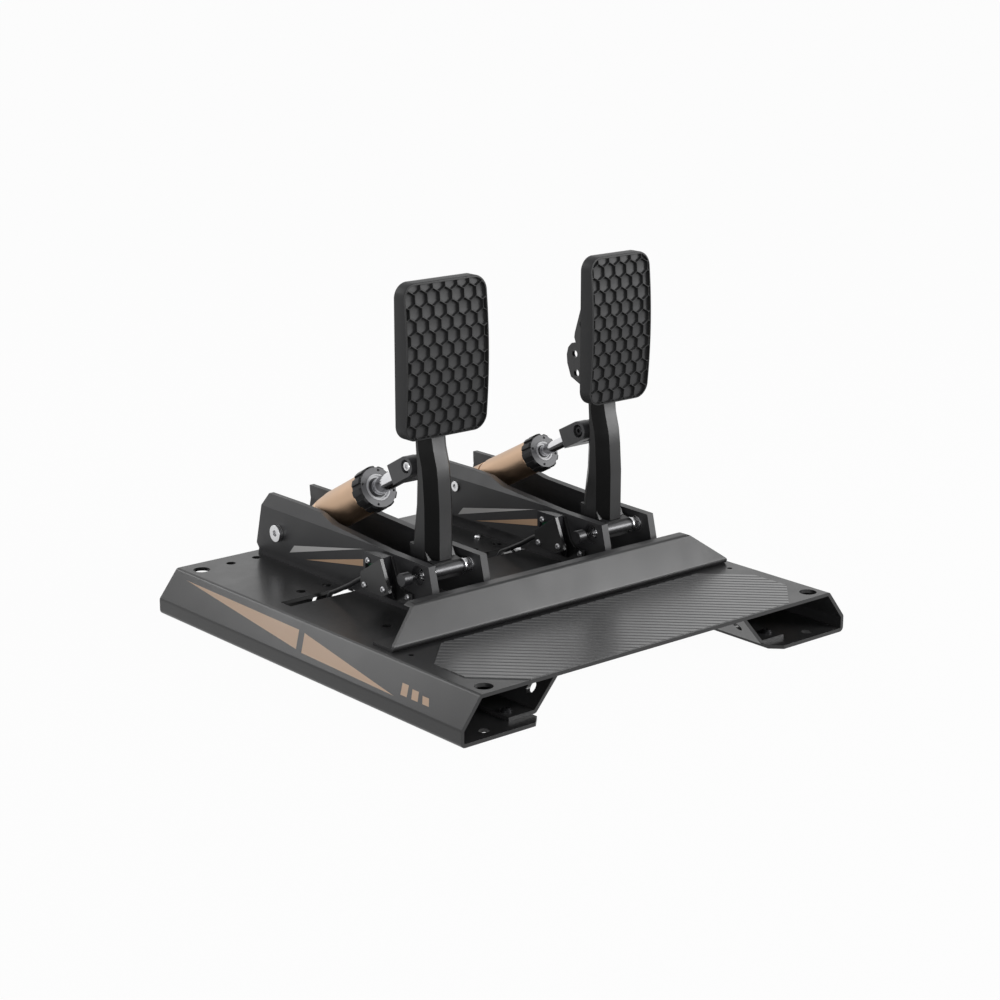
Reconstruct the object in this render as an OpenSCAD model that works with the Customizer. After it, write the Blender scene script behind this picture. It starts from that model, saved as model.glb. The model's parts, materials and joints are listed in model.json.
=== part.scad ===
// Sim racing pedal set: a bent steel base with a heel stop, and a brake and a throttle module.
// The origin is the centre of the footprint on the floor.
// +X points to the driver's right, +Y away from the driver, +Z up.
// Places along the base are distances back from its front edge, on the driver's side.

/* [Base] */
// Width of the top face between its side bends
plate_w = 369; // [360:1:380]
// Depth of the base from its front edge to its rear edge
base_depth = 400; // [396:1:430]
// Height of the top face above the floor
base_h = 37; // [34:0.5:42]
// Thickness of the bent steel sheet
sheet_t = 3; // [2:0.5:4]
// Inner radius of the bends
bend_r = 0.8; // [0.4:0.1:2]
// Height of the upright strip along each side
side_h = 13.5; // [10:0.5:18]
// How far each side slope runs outwards
slope_run = 18.2; // [12:0.2:24]
// Width of each bottom flange
flange_w = 79.5; // [70:0.5:90]
// Corner cut at the ends of the bottom flanges
flange_cut = 9; // [4:1:14]

/* [Holes in the base] */
// Diameter of the four fixing holes in the bottom flanges
fixing_d = 8.4; // [6:0.2:10]
// Diameter of the tool holes above the fixing holes
access_d = 14.2; // [12:0.2:16]
// Distance between the left and right fixing holes
fixing_span = 343; // [338:1:346]
// Distance of the front fixing holes from the front edge
fixing_front = 12; // [10:0.5:16]
// Distance of the rear fixing holes from the rear edge
fixing_rear = 18; // [14:0.5:22]
// Diameter of the grid holes
grid_d = 8; // [7:0.2:9]
// Distance between the grid columns
grid_pitch = 26.1; // [25.9:0.1:26.3]
// Place of the first grid column, left of the middle
grid_first = 142.3; // [141:0.1:144]
// Distance of the front grid row from the front edge
row_front = 165; // [160:1:170]
// Distance of the middle grid row from the front edge
row_middle = 279.5; // [276:0.5:284]
// Distance of the rear grid row from the front edge
row_rear = 381.8; // [376:0.2:384]
// Distance of the cable slot from the front edge
slot_back = 252.5; // [248:0.5:256]
// Width of the cable slot
slot_w = 14.5; // [12:0.5:16]
// Length of the cable slot
slot_len = 343; // [320:1:350]
// Diameter of the two small holes beside the heel stop
small_hole_d = 4.5; // [3:0.5:6]

/* [Stiffeners] */
// Half distance between the web feet
web_foot_x = 121.3; // [118:0.1:124]
// Half distance between the web tops
web_top_x = 96.8; // [94:0.1:100]
// Width of the foot on the bottom flange
foot_w = 25; // [18:1:30]
// Width of the strip under the top plate
strip_w = 22; // [16:1:26]
// Distance of the front stiffeners from the front edge
front_web_back = 14; // [8:1:20]
// Length of the front stiffeners
front_web_len = 138; // [120:1:140]
// Distance of the rear stiffeners from the front edge
rear_web_back = 292; // [290:1:296]
// Length of the rear stiffeners
rear_web_len = 76; // [60:1:78]
// Diameter of the hole near the end of each web
web_hole_d = 8; // [6:0.5:10]

/* [Heel rest] */
// Thickness of the ribbed heel sheet
heel_t = 0.8; // [0.5:0.1:1.2]
// Width of the heel sheet
heel_w = 341; // [330:1:350]
// Depth of the heel sheet
heel_depth = 104; // [98:1:106]
// Corner cuts of the heel sheet
heel_cut = 34; // [26:1:38]
// Distance of the heel stop bar from the front edge
bar_back = 108.8; // [107:0.2:112]
// Height of the heel stop bar above the plate
bar_h = 28.6; // [24:0.2:34]
// How far the bar leans back
bar_lean = 16; // [12:0.5:20]
// Width of the bar at its foot
bar_low_w = 356; // [350:1:360]
// Width of the bar at its top
bar_top_w = 292; // [280:1:300]
// Height of the upright facet at the bar's ends
bar_facet = 4.5; // [3:0.5:8]
// Thickness of the bar's sheet
bar_t = 2.5; // [1.5:0.5:3]
// Depth of the bar's foot on the plate
bar_foot = 27; // [24:1:28]
// Depth of the return strip at the bar's top
bar_return = 9; // [7:1:14]

/* [Channels] */
// Place of the brake module, left of the middle
brake_left = 81.4; // [80:0.1:82]
// Grid columns between the brake and the throttle
module_columns = 7; // [6:1:7]
// Width of a channel
channel_w = 58.8; // [57:0.2:60]
// Thickness of the channel walls
wall_t = 6.8; // [6:0.2:7]
// Thickness of the channel floor
floor_t = 4; // [3:0.5:5]
// Height of the walls above the plate
channel_h = 56; // [54:1:60]
// Height at which the walls start to lean inwards
lean_from = 46; // [44:0.5:48]
// How far the wall tops lean inwards
lean = 6; // [4:0.5:6.5]
// Step inwards at the foot of the walls
foot_step = 3.3; // [2:0.1:4]
// Distance of the channel front from the front edge
channel_back = 141; // [139:1:144]
// Length of the channel at its foot
channel_len = 250.9; // [248:0.1:254]

/* [Pivot] */
// Distance of the pivot from the front edge
pivot_back = 165; // [163:0.5:167]
// Height of the pivot above the plate
pivot_h = 34; // [33:0.5:36]
// Diameter of the pivot axle
axle_d = 6; // [5:0.5:6.5]
// Running clearance around pivots, on the radius
run_gap = 0.05; // [0.02:0.01:0.09]
// Diameter of the pivot sleeve
sleeve_d = 9; // [8:0.5:10]
// Diameter of the pivot bushes
bush_d = 10; // [9:0.5:11]
// Thickness of the bush collars
bush_collar_t = 1.2; // [0.8:0.1:1.5]
// Diameter of the recess round the axle in the left wall
recess_d = 16; // [14:0.5:18]
// Diameter of the magnet cap
cap_d = 10.8; // [9:0.2:12]

/* [Pedal arms] */
// Width of an arm
arm_w = 28; // [26:1:28]
// Width of the flat front of an arm
arm_front_w = 12; // [8:1:16]
// Width of the arm's upper end, between the bracket ears
tongue_w = 20; // [18:1:22]
// Width of the lug that holds the clevis bolt
lug_w = 12; // [10:1:14]
// Clearance of the clevis bolt in the lug, on the radius
lug_gap = 0.85; // [0.8:0.05:0.95]
// Thickness of the bracket's plates
bracket_t = 3; // [2:0.5:4]

/* [Pads] */
// Width of the brake pad
brake_pad_w = 82; // [70:1:90]
// Width of the throttle pad
throttle_pad_w = 66; // [60:1:76]
// Height of a pad
pad_h = 123; // [115:1:130]
// Height of the pads' lower edge above the plate
pad_low = 142; // [140:1:146]
// Distance of the pads' backs from the front edge
pad_back = 176.5; // [176:0.5:178]
// Thickness of a pad at its middle
pad_t = 14.8; // [13:0.2:17]
// Radius of the pads' curved faces
pad_curve = 465; // [400:5:600]
// Corner radius of the pads
pad_corner = 12; // [8:0.5:16]
// Distance between the dimples in a row
dimple_pitch = 12; // [11:0.5:14]
// Depth of the dimples
dimple_depth = 1.4; // [0.8:0.1:2]
// Width of the ridge between two dimples
dimple_ridge = 1; // [0.6:0.1:1.6]
// Width of the plain rim round the dimples
pad_rim = 2.2; // [1.5:0.1:4]

/* [Dampers] */
// Distance of the clevis bolts from the front edge
clevis_back = 197.2; // [196.5:0.1:198]
// Height of the clevis bolts above the plate
clevis_h = 113.6; // [112.6:0.2:115]
// Distance of the brake's rear bolt from the front edge
brake_rear_back = 355.3; // [352:0.1:358]
// Height of the brake's rear bolt above the plate
brake_rear_h = 26.8; // [25:0.2:29]
// Distance of the throttle's rear bolt from the front edge
throttle_rear_back = 342.7; // [340:0.1:346]
// Height of the throttle's rear bolt above the plate
throttle_rear_h = 38.4; // [36:0.2:40]
// Width of the clevises
clevis_w = 32; // [30:1:34]
// Height of the clevises
clevis_d = 16.6; // [15:0.2:18]
// Length of the clevises behind their bolt
clevis_len = 27.5; // [25:0.5:29]
// Diameter of the clevis bolts
clevis_bolt_d = 6; // [5:0.5:6.5]
// Diameter of the brake rod
brake_rod_d = 14; // [12:0.5:15]
// Diameter of the throttle rod
throttle_rod_d = 9.6; // [8:0.2:11]
// Distance from the clevis bolt to the brake's preload knob
brake_knob_at = 64.5; // [61:0.5:66]
// Distance from the clevis bolt to the throttle's preload knob
throttle_knob_at = 68; // [65:0.5:69.5]
// Diameter of the brake's preload knob
brake_knob_d = 37; // [36:0.5:38]
// Diameter of the throttle's preload knob
throttle_knob_d = 32; // [31:0.5:36]
// Thickness of the preload knobs
knob_t = 13; // [11:0.5:14]
// Grip slots round a preload knob
knob_slots = 12; // [8:1:16]
// Diameter of the brake's barrel
brake_barrel_d = 33.5; // [32:0.5:34]
// Diameter of the throttle's barrel
throttle_barrel_d = 29; // [28.5:0.5:31]
// Length of the brake's barrel, up to its groove
brake_barrel_len = 51; // [49:0.5:52]
// Length of the throttle's barrel, up to its groove
throttle_barrel_len = 61; // [59:0.5:62]
// Wall of the barrels
barrel_wall = 2.5; // [2:0.25:3]
// Thickness of the pistons
piston_t = 8; // [6:0.5:9]
// Coils of the throttle spring
spring_coils = 6; // [5:1:8]
// Wire of the throttle spring
spring_wire = 2.6; // [2:0.2:3]

/* [Sensors] */
// How far a sensor box stands out from its channel
sensor_out = 22; // [20:0.5:24]
// Thickness of the sensor brackets
sensor_plate_t = 2.5; // [2:0.5:3]
// Thickness of the sensor covers
sensor_cover_t = 3; // [2:0.5:4]
// Wall of the sensor housings
sensor_wall = 2; // [1.5:0.1:2.2]
// Diameter of the sensor cables
cable_d = 4; // [3.6:0.1:4.2]

/* [Control box] */
// Width of the control box under the plate
control_w = 103; // [98:1:103]
// Depth of the control box
control_depth = 54; // [50:1:58]
// Height of the control box
control_h = 21; // [18:1:24]
// Wall of the control box
control_wall = 2.5; // [2:0.1:3]

/* [Hidden] */
$fn = 64;
// Gap left at rest between pieces that move apart
seat_gap = 0.3;
// Play of screws in their holes, on the diameter
screw_play = 0.2;
bend_steps = 4;
corner_steps = 5;
BRAKE = 0;
THROTTLE = 1;
PEDALS = [BRAKE, THROTTLE];
SIDES = [-1, 1];

// Colours
steel_black = [0.17, 0.17, 0.18];
satin_black = [0.10, 0.10, 0.11];
rubber_black = [0.06, 0.06, 0.06];
bronze = [0.72, 0.56, 0.42];
bright = [0.78, 0.78, 0.80];
dark_bolt = [0.22, 0.22, 0.23];
board_green = [0.05, 0.30, 0.16];

// Screws: shank, head width, head height
m3 = [3, 5.2, 1.8];
m4 = [4, 7.5, 2.2];
m5 = [5, 9.4, 2.8];
m6 = [6, 10, 3.2];
m3_bore = m3[0] + screw_play;

// Places along the base, measured back from its front edge
function from_front(back) = back - base_depth / 2;

// Base
plate_low = base_h - sheet_t;
base_half = plate_w / 2 + slope_run;
flange_in = base_half - flange_w;
grid_columns = 12;
grid_rows = [row_front, row_middle, row_rear];
small_hole_x = fixing_span / 2 - 1.5;
small_hole_back = bar_back - 10;
web_low = 2 * sheet_t;
web_path = [
    [web_foot_x + foot_w, web_low], [web_foot_x, web_low],
    [web_top_x, plate_low], [web_top_x - strip_w, plate_low]];
web_spans = [[front_web_back, front_web_len], [rear_web_back, rear_web_len]];
web_screw_x = web_foot_x + foot_w / 2 + 5;
web_screw_inset = 12;
web_hole_inset = 15;
web_hole_z = (web_low + plate_low) / 2 - 3;
base_screw_grip = 5.5;
web_screw_places = [
    for (s = SIDES, span = web_spans, back = [span[0] + web_screw_inset, span[0] + span[1] - web_screw_inset])
        [s * web_screw_x, back, web_low]];

// Heel rest
heel_front = 0.5;
bar_screw_x = [-130, -45, 45, 130];
bar_screw_back = bar_back + 19;
bar_top = base_h + bar_h;
bar_tuck = 3.4;
// Half of the bar's outline: its end rises from the foot and leans in, with rounded corners
bar_shoulder = [bar_low_w / 2, base_h + bar_facet];
bar_peak = [bar_top_w / 2, bar_top + 0.01];
bar_end = concat(
    round_corner([bar_low_w / 2, base_h - 1], bar_shoulder, bar_peak, 4),
    round_corner(bar_shoulder, bar_peak, [0, bar_peak[1]], 9));

// Pedal modules
module_x = [-brake_left, module_columns * grid_pitch - brake_left];
channel_half = channel_w / 2;
inner_half = channel_half - wall_t;
foot_half = channel_half - foot_step;
channel_top = base_h + channel_h;
channel_rear = channel_back + channel_len;
floor_top = base_h + floor_t;
channel_columns = [
    for (m = PEDALS) [for (k = [2, 3]) (k + m * module_columns) * grid_pitch - grid_first]];
channel_screw_grip = 14;
nut_flange_d = 12;
nut_flange_t = 1.2;
nut_hex_d = 9.2;
nut_h = 6;

// Pivot
pivot_z = base_h + pivot_h;
recess_depth = 4;
bush_collar_d = bush_d + 2.4;
collar_face = inner_half - bush_collar_t;
arm_half = arm_w / 2;
lock_washer_t = 1.5;
lock_nut_end = collar_face - 0.4;
lock_nut_d = 11.4;
shoulder_d = axle_d + 2;
cap_out = 17;
cap_in = 9;
cap_end_t = 3;
axle_end_in = 4.6;
axle_stud_d = 3.2;

// Pads
pad_w = [brake_pad_w, throttle_pad_w];
pad_z = base_h + pad_low;
pad_mid = pad_z + pad_h / 2;
pad_screw_z = [pad_z + 26, pad_z + 100];
pad_screw_grip = 9;
dimple_row = dimple_pitch * sqrt(3) / 2;
dimple_d = (dimple_pitch - dimple_ridge) / cos(30);
dimple_shift = 2.8;

// Arms
tongue_front = pad_back + bracket_t + seat_gap;
tongue_rear = tongue_front + 17.2;
tongue_low = pad_z + 1;
tongue_top = pad_z + 49;
tongue_bolts = [[tongue_front + 9.2, pad_z + 18], [tongue_front + 10.2, pad_z + 40]];
// Spare holes of the bracket for other pad heights
spare_holes = [[pad_back + 26, pad_z + 20], [pad_back + 28.3, pad_z + 36], [pad_back + 19.5, pad_z + 62]];
ear_in = tongue_w / 2 + seat_gap;
ear_out = ear_in + bracket_t;
// The bracket's ears: distance behind the pad and height above its lower edge
ear_outline = [
    [0, 11], [22, 11.4], [33, 16], [37.6, 27], [38.3, 34.3], [36.6, 40.5], [32.5, 44.6], [27.5, 45.9],
    [29.2, 50], [28.6, 54], [20.4, 78.6], [9.5, 98], [0, 106]];
ear_reach = [35, 38.3];
bracket_half = 24;
pad_screw_x = ear_out + m5[1] / 2 + 0.5;
bracket_top = 111;
bracket_cut = 8;
bracket_nut_d = 11.4;
bracket_nut_t = 5;
foot_outline = [
    [165, 26.5], [176, 26.5], [194, 38], [195.5, 52], [176, 49], [172, 41.5], [165, 40.2]];
// Height above the plate, front and rear of the arm's sections
arm_sections = [
    [41, 167, 197.5], [55, 167, 197], [83, 167, 193], [105, 168.6, 192], [116, 170, 191.8],
    [129, 174, 191.6], [140, 176.5, 191.6], [149, 177.6, 192.6]];

// Dampers
clevis_z = base_h + clevis_h;
rear_back = [brake_rear_back, throttle_rear_back];
rear_z = [base_h + brake_rear_h, base_h + throttle_rear_h];
rear_bolt_d = [8, 6];
rear_head_d = [14.6, 9.4];
rear_head_t = [4.4, 1.8];
rear_nut_d = [15, 11.4];
damper_len = [for (m = PEDALS) norm([rear_back[m] - clevis_back, rear_z[m] - clevis_z])];
damper_tilt = [for (m = PEDALS) atan2(clevis_back - rear_back[m], rear_z[m] - clevis_z)];
rod_r = [brake_rod_d / 2, throttle_rod_d / 2];
thread_r = 4;
thread_from = 14;
jam_nut_t = 4;
jam_nut_d = 15;
rod_from = [clevis_len + jam_nut_t + seat_gap, clevis_len];
lug_r = clevis_d / 2 - seat_gap;
lug_half = lug_w / 2;
lug_root = 12;
cheek_room_w = 20;
cheek_room_d = clevis_d + 2.6;
cheek_in = lug_half + seat_gap;
clevis_half = clevis_w / 2;
clevis_nose = clevis_d / 2;
clevis_slot = 11;
clevis_head_depth = 4;
clevis_cut = 3.6;
knob_at = [brake_knob_at, throttle_knob_at];
barrel_from = [for (m = PEDALS) knob_at[m] + knob_t + seat_gap];
barrel_to = [knob_at[0] + knob_t + brake_barrel_len, knob_at[1] + knob_t + throttle_barrel_len];
barrel_r = [brake_barrel_d / 2, throttle_barrel_d / 2];
bore_r = [for (r = barrel_r) r - barrel_wall];
bore_to = [for (m = PEDALS) barrel_to[m] - 3];
gland_r = [10, 7.2];
gland_lip = 1.4;
gland_ring = 1.5;
gland_sink = 1.6;
gland_flange_t = 3;
piston_from = [for (m = PEDALS) barrel_from[m] + gland_flange_t + 0.7];
piston_r = [for (r = bore_r) r - run_gap * 2];
piston_to = [for (m = PEDALS) piston_from[m] + piston_t];
groove_w = 1.6;
groove_depth = 0.8;
taper_len = [12.5, 7];
taper_to = [for (m = PEDALS) barrel_to[m] + taper_len[m]];
taper_end_r = [for (r = barrel_r) r - 1.1];
cap_from = [for (m = PEDALS) taper_to[m] + groove_w];
stud_r = 4;
stud_len = 8;
sleeve_len = 24;
end_sleeve_r = taper_end_r[BRAKE] - 0.2;
end_sleeve_taper = 3.6;
end_sleeve_rear_r = end_sleeve_r - end_sleeve_taper;
eye_from = [cap_from[0] + sleeve_len, cap_from[1]];
eye_r = [12, 14];
eye_half = [12, 13];
elastomers = 3;
elastomer_r = bore_r[BRAKE] - 0.7;
elastomer_bore_r = 3.5;
spring_r = 9;
knob_face_depth = 1.1;
knob_pin_r = 1.1;
knob_r = [brake_knob_d / 2, throttle_knob_d / 2];
knob_pin_at = [for (m = PEDALS) (knob_r[m] + gland_r[m]) / 2 + 0.5];
knob_notch_w = 4.2;
knob_notch_depth = 1.6;

// Sensors: outlines in distance back and height above the plate
box_rear = 211;
box_high = 47.5;
cover_outline = [[174, 22], [182, 17.4], [201, 17], [box_rear, 20], [box_rear, 31], [185, box_high]];
shell_outer = [[174, 22], [182, 17.4], [201, 17], [box_rear, 20], [box_rear, box_high], [185, box_high]];
shell_inner = [[190.3, 7.7], [196, 7.7], [205, 8], [box_rear, 10], [box_rear, 43.8], [196.9, 43.8]];
board_outline = [
    [186, 24], [189, 20.5], [200, 20], [202.6, 22.5], [204.6, 24.2], [208, 24.2], [208, 38], [191, 42]];
well_outline = [[195, 21], [206, 22.5], [206, 36], [197, 38]];
bracket_outline = [
    [170, 11], [180, 8], [box_rear, 8], [box_rear, 43], [196, 43], [188, 24], [183, 19], [170, 18]];
cover_screws = [[205.6, 21.5], [181.2, 23.5]];
shell_screw = [204.4, 41.3];
bracket_screws = [[175.4, 14.7], [201, 29]];
sensor_screw_grip = 7.4;
box_out = channel_half + sensor_out;
shell_out = box_out - sensor_cover_t;
shell_in = channel_half + sensor_plate_t;
well_out = shell_out - 4.6;
well_in = shell_in + sensor_wall;
board_t = 1.6;
chip_t = 2;
chip_outline = [[190, 27], [196, 27], [196, 33], [190, 33]];

// Control box
control_gap = 0.8;
control_right = web_top_x - strip_w - control_gap;
control_left = control_right - control_w;
control_x = (control_left + control_right) / 2;
control_screw_inset = 6.7;
control_mid = 306.3;
control_screw_x = [control_left + control_screw_inset, control_right - control_screw_inset];
control_lid_t = 2;
control_top = plate_low - control_lid_t;
control_low = plate_low - control_h;
control_front = control_mid - control_depth / 2;
control_post_d = 10;
control_screw_grip = 12;
control_rib_h = 3;
control_board_w = 74;
control_board_inset = 1.5;
socket_w = 9;
socket_h = 3.2;
socket_sink = 0.8;

// Cables: one route for each pedal, in x, distance back and height above the floor
cable_z = 60.5;
cable_x = [for (m = PEDALS) module_x[m] - channel_half - 12.4];
cable_end_z = 24;
brake_inlet_back = control_front + 6.2;
throttle_inlet_x = control_right - 30.5;
cable_routes = [
    [[cable_x[0], 203, cable_z], [cable_x[0], 212, cable_z], [cable_x[0], 222, 58],
     [cable_x[0] - 2, 236, 49.5],
     [-128, 250.5, 41.5], [-128.8, 256.4, 38.4], [-129, 259.6, 32.5], [-122, 265, 25], [-100, 270, 20],
     [-68, 278, 19], [-44, 284, 22], [control_left, brake_inlet_back, cable_end_z],
     [control_left + 4, brake_inlet_back, cable_end_z]],
    [[cable_x[1], 203, cable_z], [cable_x[1], 212, cable_z], [cable_x[1], 222, 58], [58, 236, 49.5],
     [54, 250.5, 41.5], [52, 256.4, 38.4], [50, 259.6, 32.5], [46, 265, 26.5], [44, 272, 24.5],
     [throttle_inlet_x, control_front, cable_end_z], [throttle_inlet_x, control_front + 4, cable_end_z]]];
cable_steps = 2;
cable_sides = 10;

function unit(v) = v / norm(v);
function left_of(a, b) = let (u = unit(b - a)) [-u[1], u[0]];
function turned(v, a) = [v[0] * cos(a) - v[1] * sin(a), v[0] * sin(a) + v[1] * cos(a)];
function turn_between(u, v) = atan2(u[0] * v[1] - u[1] * v[0], u * v);
// Points of an arc that rounds corner b of the path a, b, c
function round_corner(a, b, c, r) =
    let (u = unit(a - b), v = unit(c - b), half = acos(u * v) / 2, m = b + unit(u + v) * r / sin(half),
         from = b + u * r / tan(half) - m, turn = turn_between(from, b + v * r / tan(half) - m))
    [for (k = [0:corner_steps]) m + turned(from, turn * k / corner_steps)];
function reversed(list) = [for (i = [len(list) - 1:-1:0]) list[i]];
function mirrored(path) = reversed([for (p = path) [-p[0], p[1]]]);
function above_plate(outline) = [for (p = outline) [p[0], p[1] + base_h]];

// One bend of a sheet, on the side that lies off to the left of the path
function bend_arc(a, b, c, off, t) =
    let (u = unit(b - a),
         angle = turn_between(u, unit(c - b)),
         s = sign(angle),
         path_r = bend_r + (s > 0 ? t : 0),
         side = s * [-u[1], u[0]],
         centre = b - u * path_r * tan(abs(angle) / 2) + side * path_r)
    [for (k = [0:bend_steps]) centre - turned(side, angle * k / bend_steps) * (path_r - s * off)];

function sheet_side(path, off, t) =
    let (n = len(path))
    concat(
        [path[0] + off * left_of(path[0], path[1])],
        [for (i = [1:n - 2]) each bend_arc(path[i - 1], path[i], path[i + 1], off, t)],
        [path[n - 1] + off * left_of(path[n - 2], path[n - 1])]);

// A bent sheet seen from its end, with its thickness to the left of the path
module sheet_profile(path, t) {
    polygon(concat(sheet_side(path, 0, t), reversed(sheet_side(path, t, t))));
}

// Runs an outline in x and z along the base
module along_y(back, length) {
    translate([0, from_front(back + length), 0])
        rotate([90, 0, 0])
            linear_extrude(height = length) children();
}

// Runs an outline in distance back and height across the base
module along_x(x0, x1) {
    translate([x0, from_front(0), 0])
        rotate([90, 0, 90])
            linear_extrude(height = x1 - x0) children();
}

module cross_rod(x0, x1, d, back, z) {
    translate([x0, from_front(back), z])
        rotate([0, 90, 0])
            cylinder(d = d, h = x1 - x0);
}

module cross_hex(x0, x1, d, back, z) {
    translate([x0, from_front(back), z])
        rotate([0, 90, 0])
            cylinder(d = d, h = x1 - x0, $fn = 6);
}

module upright(x, back, z0, z1, d) {
    translate([x, from_front(back), z0]) cylinder(d = d, h = z1 - z0);
}

module rounded_outline(w, h, r) {
    square([w - 2 * r, h], center = true);
    square([w, h - 2 * r], center = true);
    for (x = SIDES, y = SIDES) translate([x * (w / 2 - r), y * (h / 2 - r)]) circle(r);
}

// Skins rings of points that run counterclockwise as seen from the last ring
module skin(rings) {
    n = len(rings[0]);
    last = len(rings) - 1;
    polyhedron(
        points = [for (ring = rings) each ring],
        faces = concat(
            [[for (k = [0:n - 1]) k]],
            [for (i = [0:last - 1], k = [0:n - 1])
                each [[i * n + k, (i + 1) * n + k, (i + 1) * n + (k + 1) % n],
                      [i * n + k, (i + 1) * n + (k + 1) % n, i * n + (k + 1) % n]]],
            [[for (k = [n - 1:-1:0]) last * n + k]]));
}

function tangent(p, i) = unit(p[min(i + 1, len(p) - 1)] - p[max(i - 1, 0)]);
function square_to(v, t) = unit(v - (v * t) * t);
function tube_sides(p, start) = [
    for (i = 0, v = square_to(start, tangent(p, 0));
         i < len(p);
         i = i + 1, v = i < len(p) ? square_to(v, tangent(p, i)) : v) v];
function blend(a, b, c, d, t) =
    0.5 * (2 * b + (c - a) * t + (2 * a - 5 * b + 4 * c - d) * t * t + (3 * b - a - 3 * c + d) * t * t * t);
function smooth_route(p, steps) =
    let (n = len(p))
    concat(
        [for (i = [0:n - 2], k = [0:steps - 1])
            blend(p[max(i - 1, 0)], p[i], p[i + 1], p[min(i + 2, n - 1)], k / steps)],
        [p[n - 1]]);

// A tube along a list of points
module tube_along(p, r, sides, start) {
    v = tube_sides(p, start);
    skin([for (i = [0:len(p) - 1])
        let (t = tangent(p, i), w = cross(t, v[i]))
        [for (k = [0:sides - 1]) p[i] + r * (cos(360 * k / sides) * v[i] + sin(360 * k / sides) * w)]]);
}

// A button head screw pointing down, its head resting at height 0
module screw_down(screw, grip) {
    difference() {
        union() {
            translate([0, 0, -grip]) cylinder(d = screw[0], h = grip + screw[2] / 2);
            rotate_extrude() polygon([
                [0, 0], [screw[1] / 2, 0], [screw[1] / 2, screw[2] * 0.45], [screw[1] * 0.34, screw[2]],
                [0, screw[2]]]);
        }
        translate([0, 0, screw[2] * 0.4]) cylinder(d = screw[0] * 0.62, h = screw[2], $fn = 6);
    }
}

// A screw pointing to +X, its head resting at x
module screw_right(screw, grip, x, back, z) {
    translate([x, from_front(back), z]) rotate([0, -90, 0]) screw_down(screw, grip);
}

// Base

module base_outline() {
    sheet_profile([
        [flange_in, 0], [base_half, 0], [base_half, side_h], [plate_w / 2, base_h],
        [-plate_w / 2, base_h], [-base_half, side_h], [-base_half, 0], [-flange_in, 0]], sheet_t);
}

module plate_hole(x, back, d) {
    upright(x, back, plate_low - 1, base_h + 1, d);
}

module base_plate() {
    color(steel_black) difference() {
        along_y(0, base_depth) base_outline();
        for (s = SIDES, back = [fixing_front, base_depth - fixing_rear]) {
            upright(s * fixing_span / 2, back, -1, sheet_t + 1, fixing_d);
            plate_hole(s * fixing_span / 2, back, access_d);
        }
        for (s = SIDES, t = SIDES)
            translate([s * flange_in, t * base_depth / 2, 0])
                rotate(45)
                    cube([flange_cut * sqrt(2), flange_cut * sqrt(2), 2 * sheet_t + 1], center = true);
        for (k = [0:grid_columns - 1], back = grid_rows)
            plate_hole(k * grid_pitch - grid_first, back, grid_d);
        translate([-slot_len / 2, from_front(slot_back), plate_low - 1])
            cube([slot_len, slot_w, sheet_t + 2]);
        for (s = SIDES) plate_hole(s * small_hole_x, small_hole_back, small_hole_d);
        for (x = bar_screw_x) plate_hole(x, bar_screw_back, m5[0] + screw_play);
        for (x = control_screw_x) plate_hole(x, control_mid, m4[0] + screw_play);
        for (p = web_screw_places) upright(p[0], p[1], -1, sheet_t + 1, m5[0] + screw_play);
    }
}

module stiffeners() {
    color(steel_black) difference() {
        for (span = web_spans) {
            along_y(span[0], span[1]) sheet_profile(web_path, sheet_t);
            along_y(span[0], span[1]) sheet_profile(mirrored(web_path), sheet_t);
        }
        for (p = web_screw_places) upright(p[0], p[1], sheet_t - 1, web_low + 1, m5[0] + screw_play);
        for (span = web_spans)
            cross_rod(-web_foot_x, web_foot_x, web_hole_d, span[0] + web_hole_inset, web_hole_z);
    }
}

module base_screws() {
    color(dark_bolt) {
        for (p = web_screw_places)
            translate([p[0], from_front(p[1]), p[2]]) screw_down(m5, base_screw_grip);
        for (x = bar_screw_x)
            translate([x, from_front(bar_screw_back), base_h + bar_t]) screw_down(m5, base_screw_grip);
    }
}

// Heel rest

module heel_sheet() {
    w = heel_w / 2;
    a = from_front(heel_front);
    b = from_front(heel_front + heel_depth);
    color(rubber_black)
        translate([0, 0, base_h])
            linear_extrude(height = heel_t)
                polygon([
                    [heel_cut - w, a], [w - heel_cut, a], [w, a + heel_cut], [w, b - heel_cut],
                    [w - heel_cut, b], [heel_cut - w, b], [-w, b - heel_cut], [-w, a + heel_cut]]);
}

module heel_stop_bar() {
    low = bar_low_w / 2;
    high = bar_top_w / 2;
    color(steel_black) difference() {
        intersection() {
            along_x(-low, low) sheet_profile([
                [bar_back + bar_lean + bar_return, bar_top], [bar_back + bar_lean, bar_top],
                [bar_back, base_h + bar_tuck], [bar_back + bar_tuck, base_h],
                [bar_back + bar_foot, base_h]], bar_t);
            along_y(bar_back - 1, bar_lean + bar_foot + 2) polygon(concat(
                [[-low, base_h - 1], [low, base_h - 1]], bar_end,
                [for (p = reversed(bar_end)) [-p[0], p[1]]]));
        }
        for (x = bar_screw_x)
            upright(x, bar_screw_back, base_h - 1, base_h + bar_t + 1, m5[0] + screw_play);
    }
}

// Channels

module channel_section() {
    half = [
        [foot_half, base_h], [foot_half, base_h + 5], [channel_half, base_h + 11],
        [channel_half, base_h + lean_from], [channel_half - lean, channel_top],
        [inner_half - lean + 2, channel_top], [inner_half, base_h + lean_from - 3],
        [inner_half, floor_top]];
    polygon(concat(half, mirrored(half)));
}

module channel_side() {
    polygon([
        [channel_back, base_h], [channel_rear, base_h], [channel_rear - 11.4, base_h + lean_from],
        [channel_rear - 14.9, channel_top], [channel_back + 192, channel_top],
        [channel_back + 161, base_h + 55], [channel_back + 140, base_h + 50],
        [channel_back + 63, base_h + 45], [channel_back + 11, base_h + 44]]);
}

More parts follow.
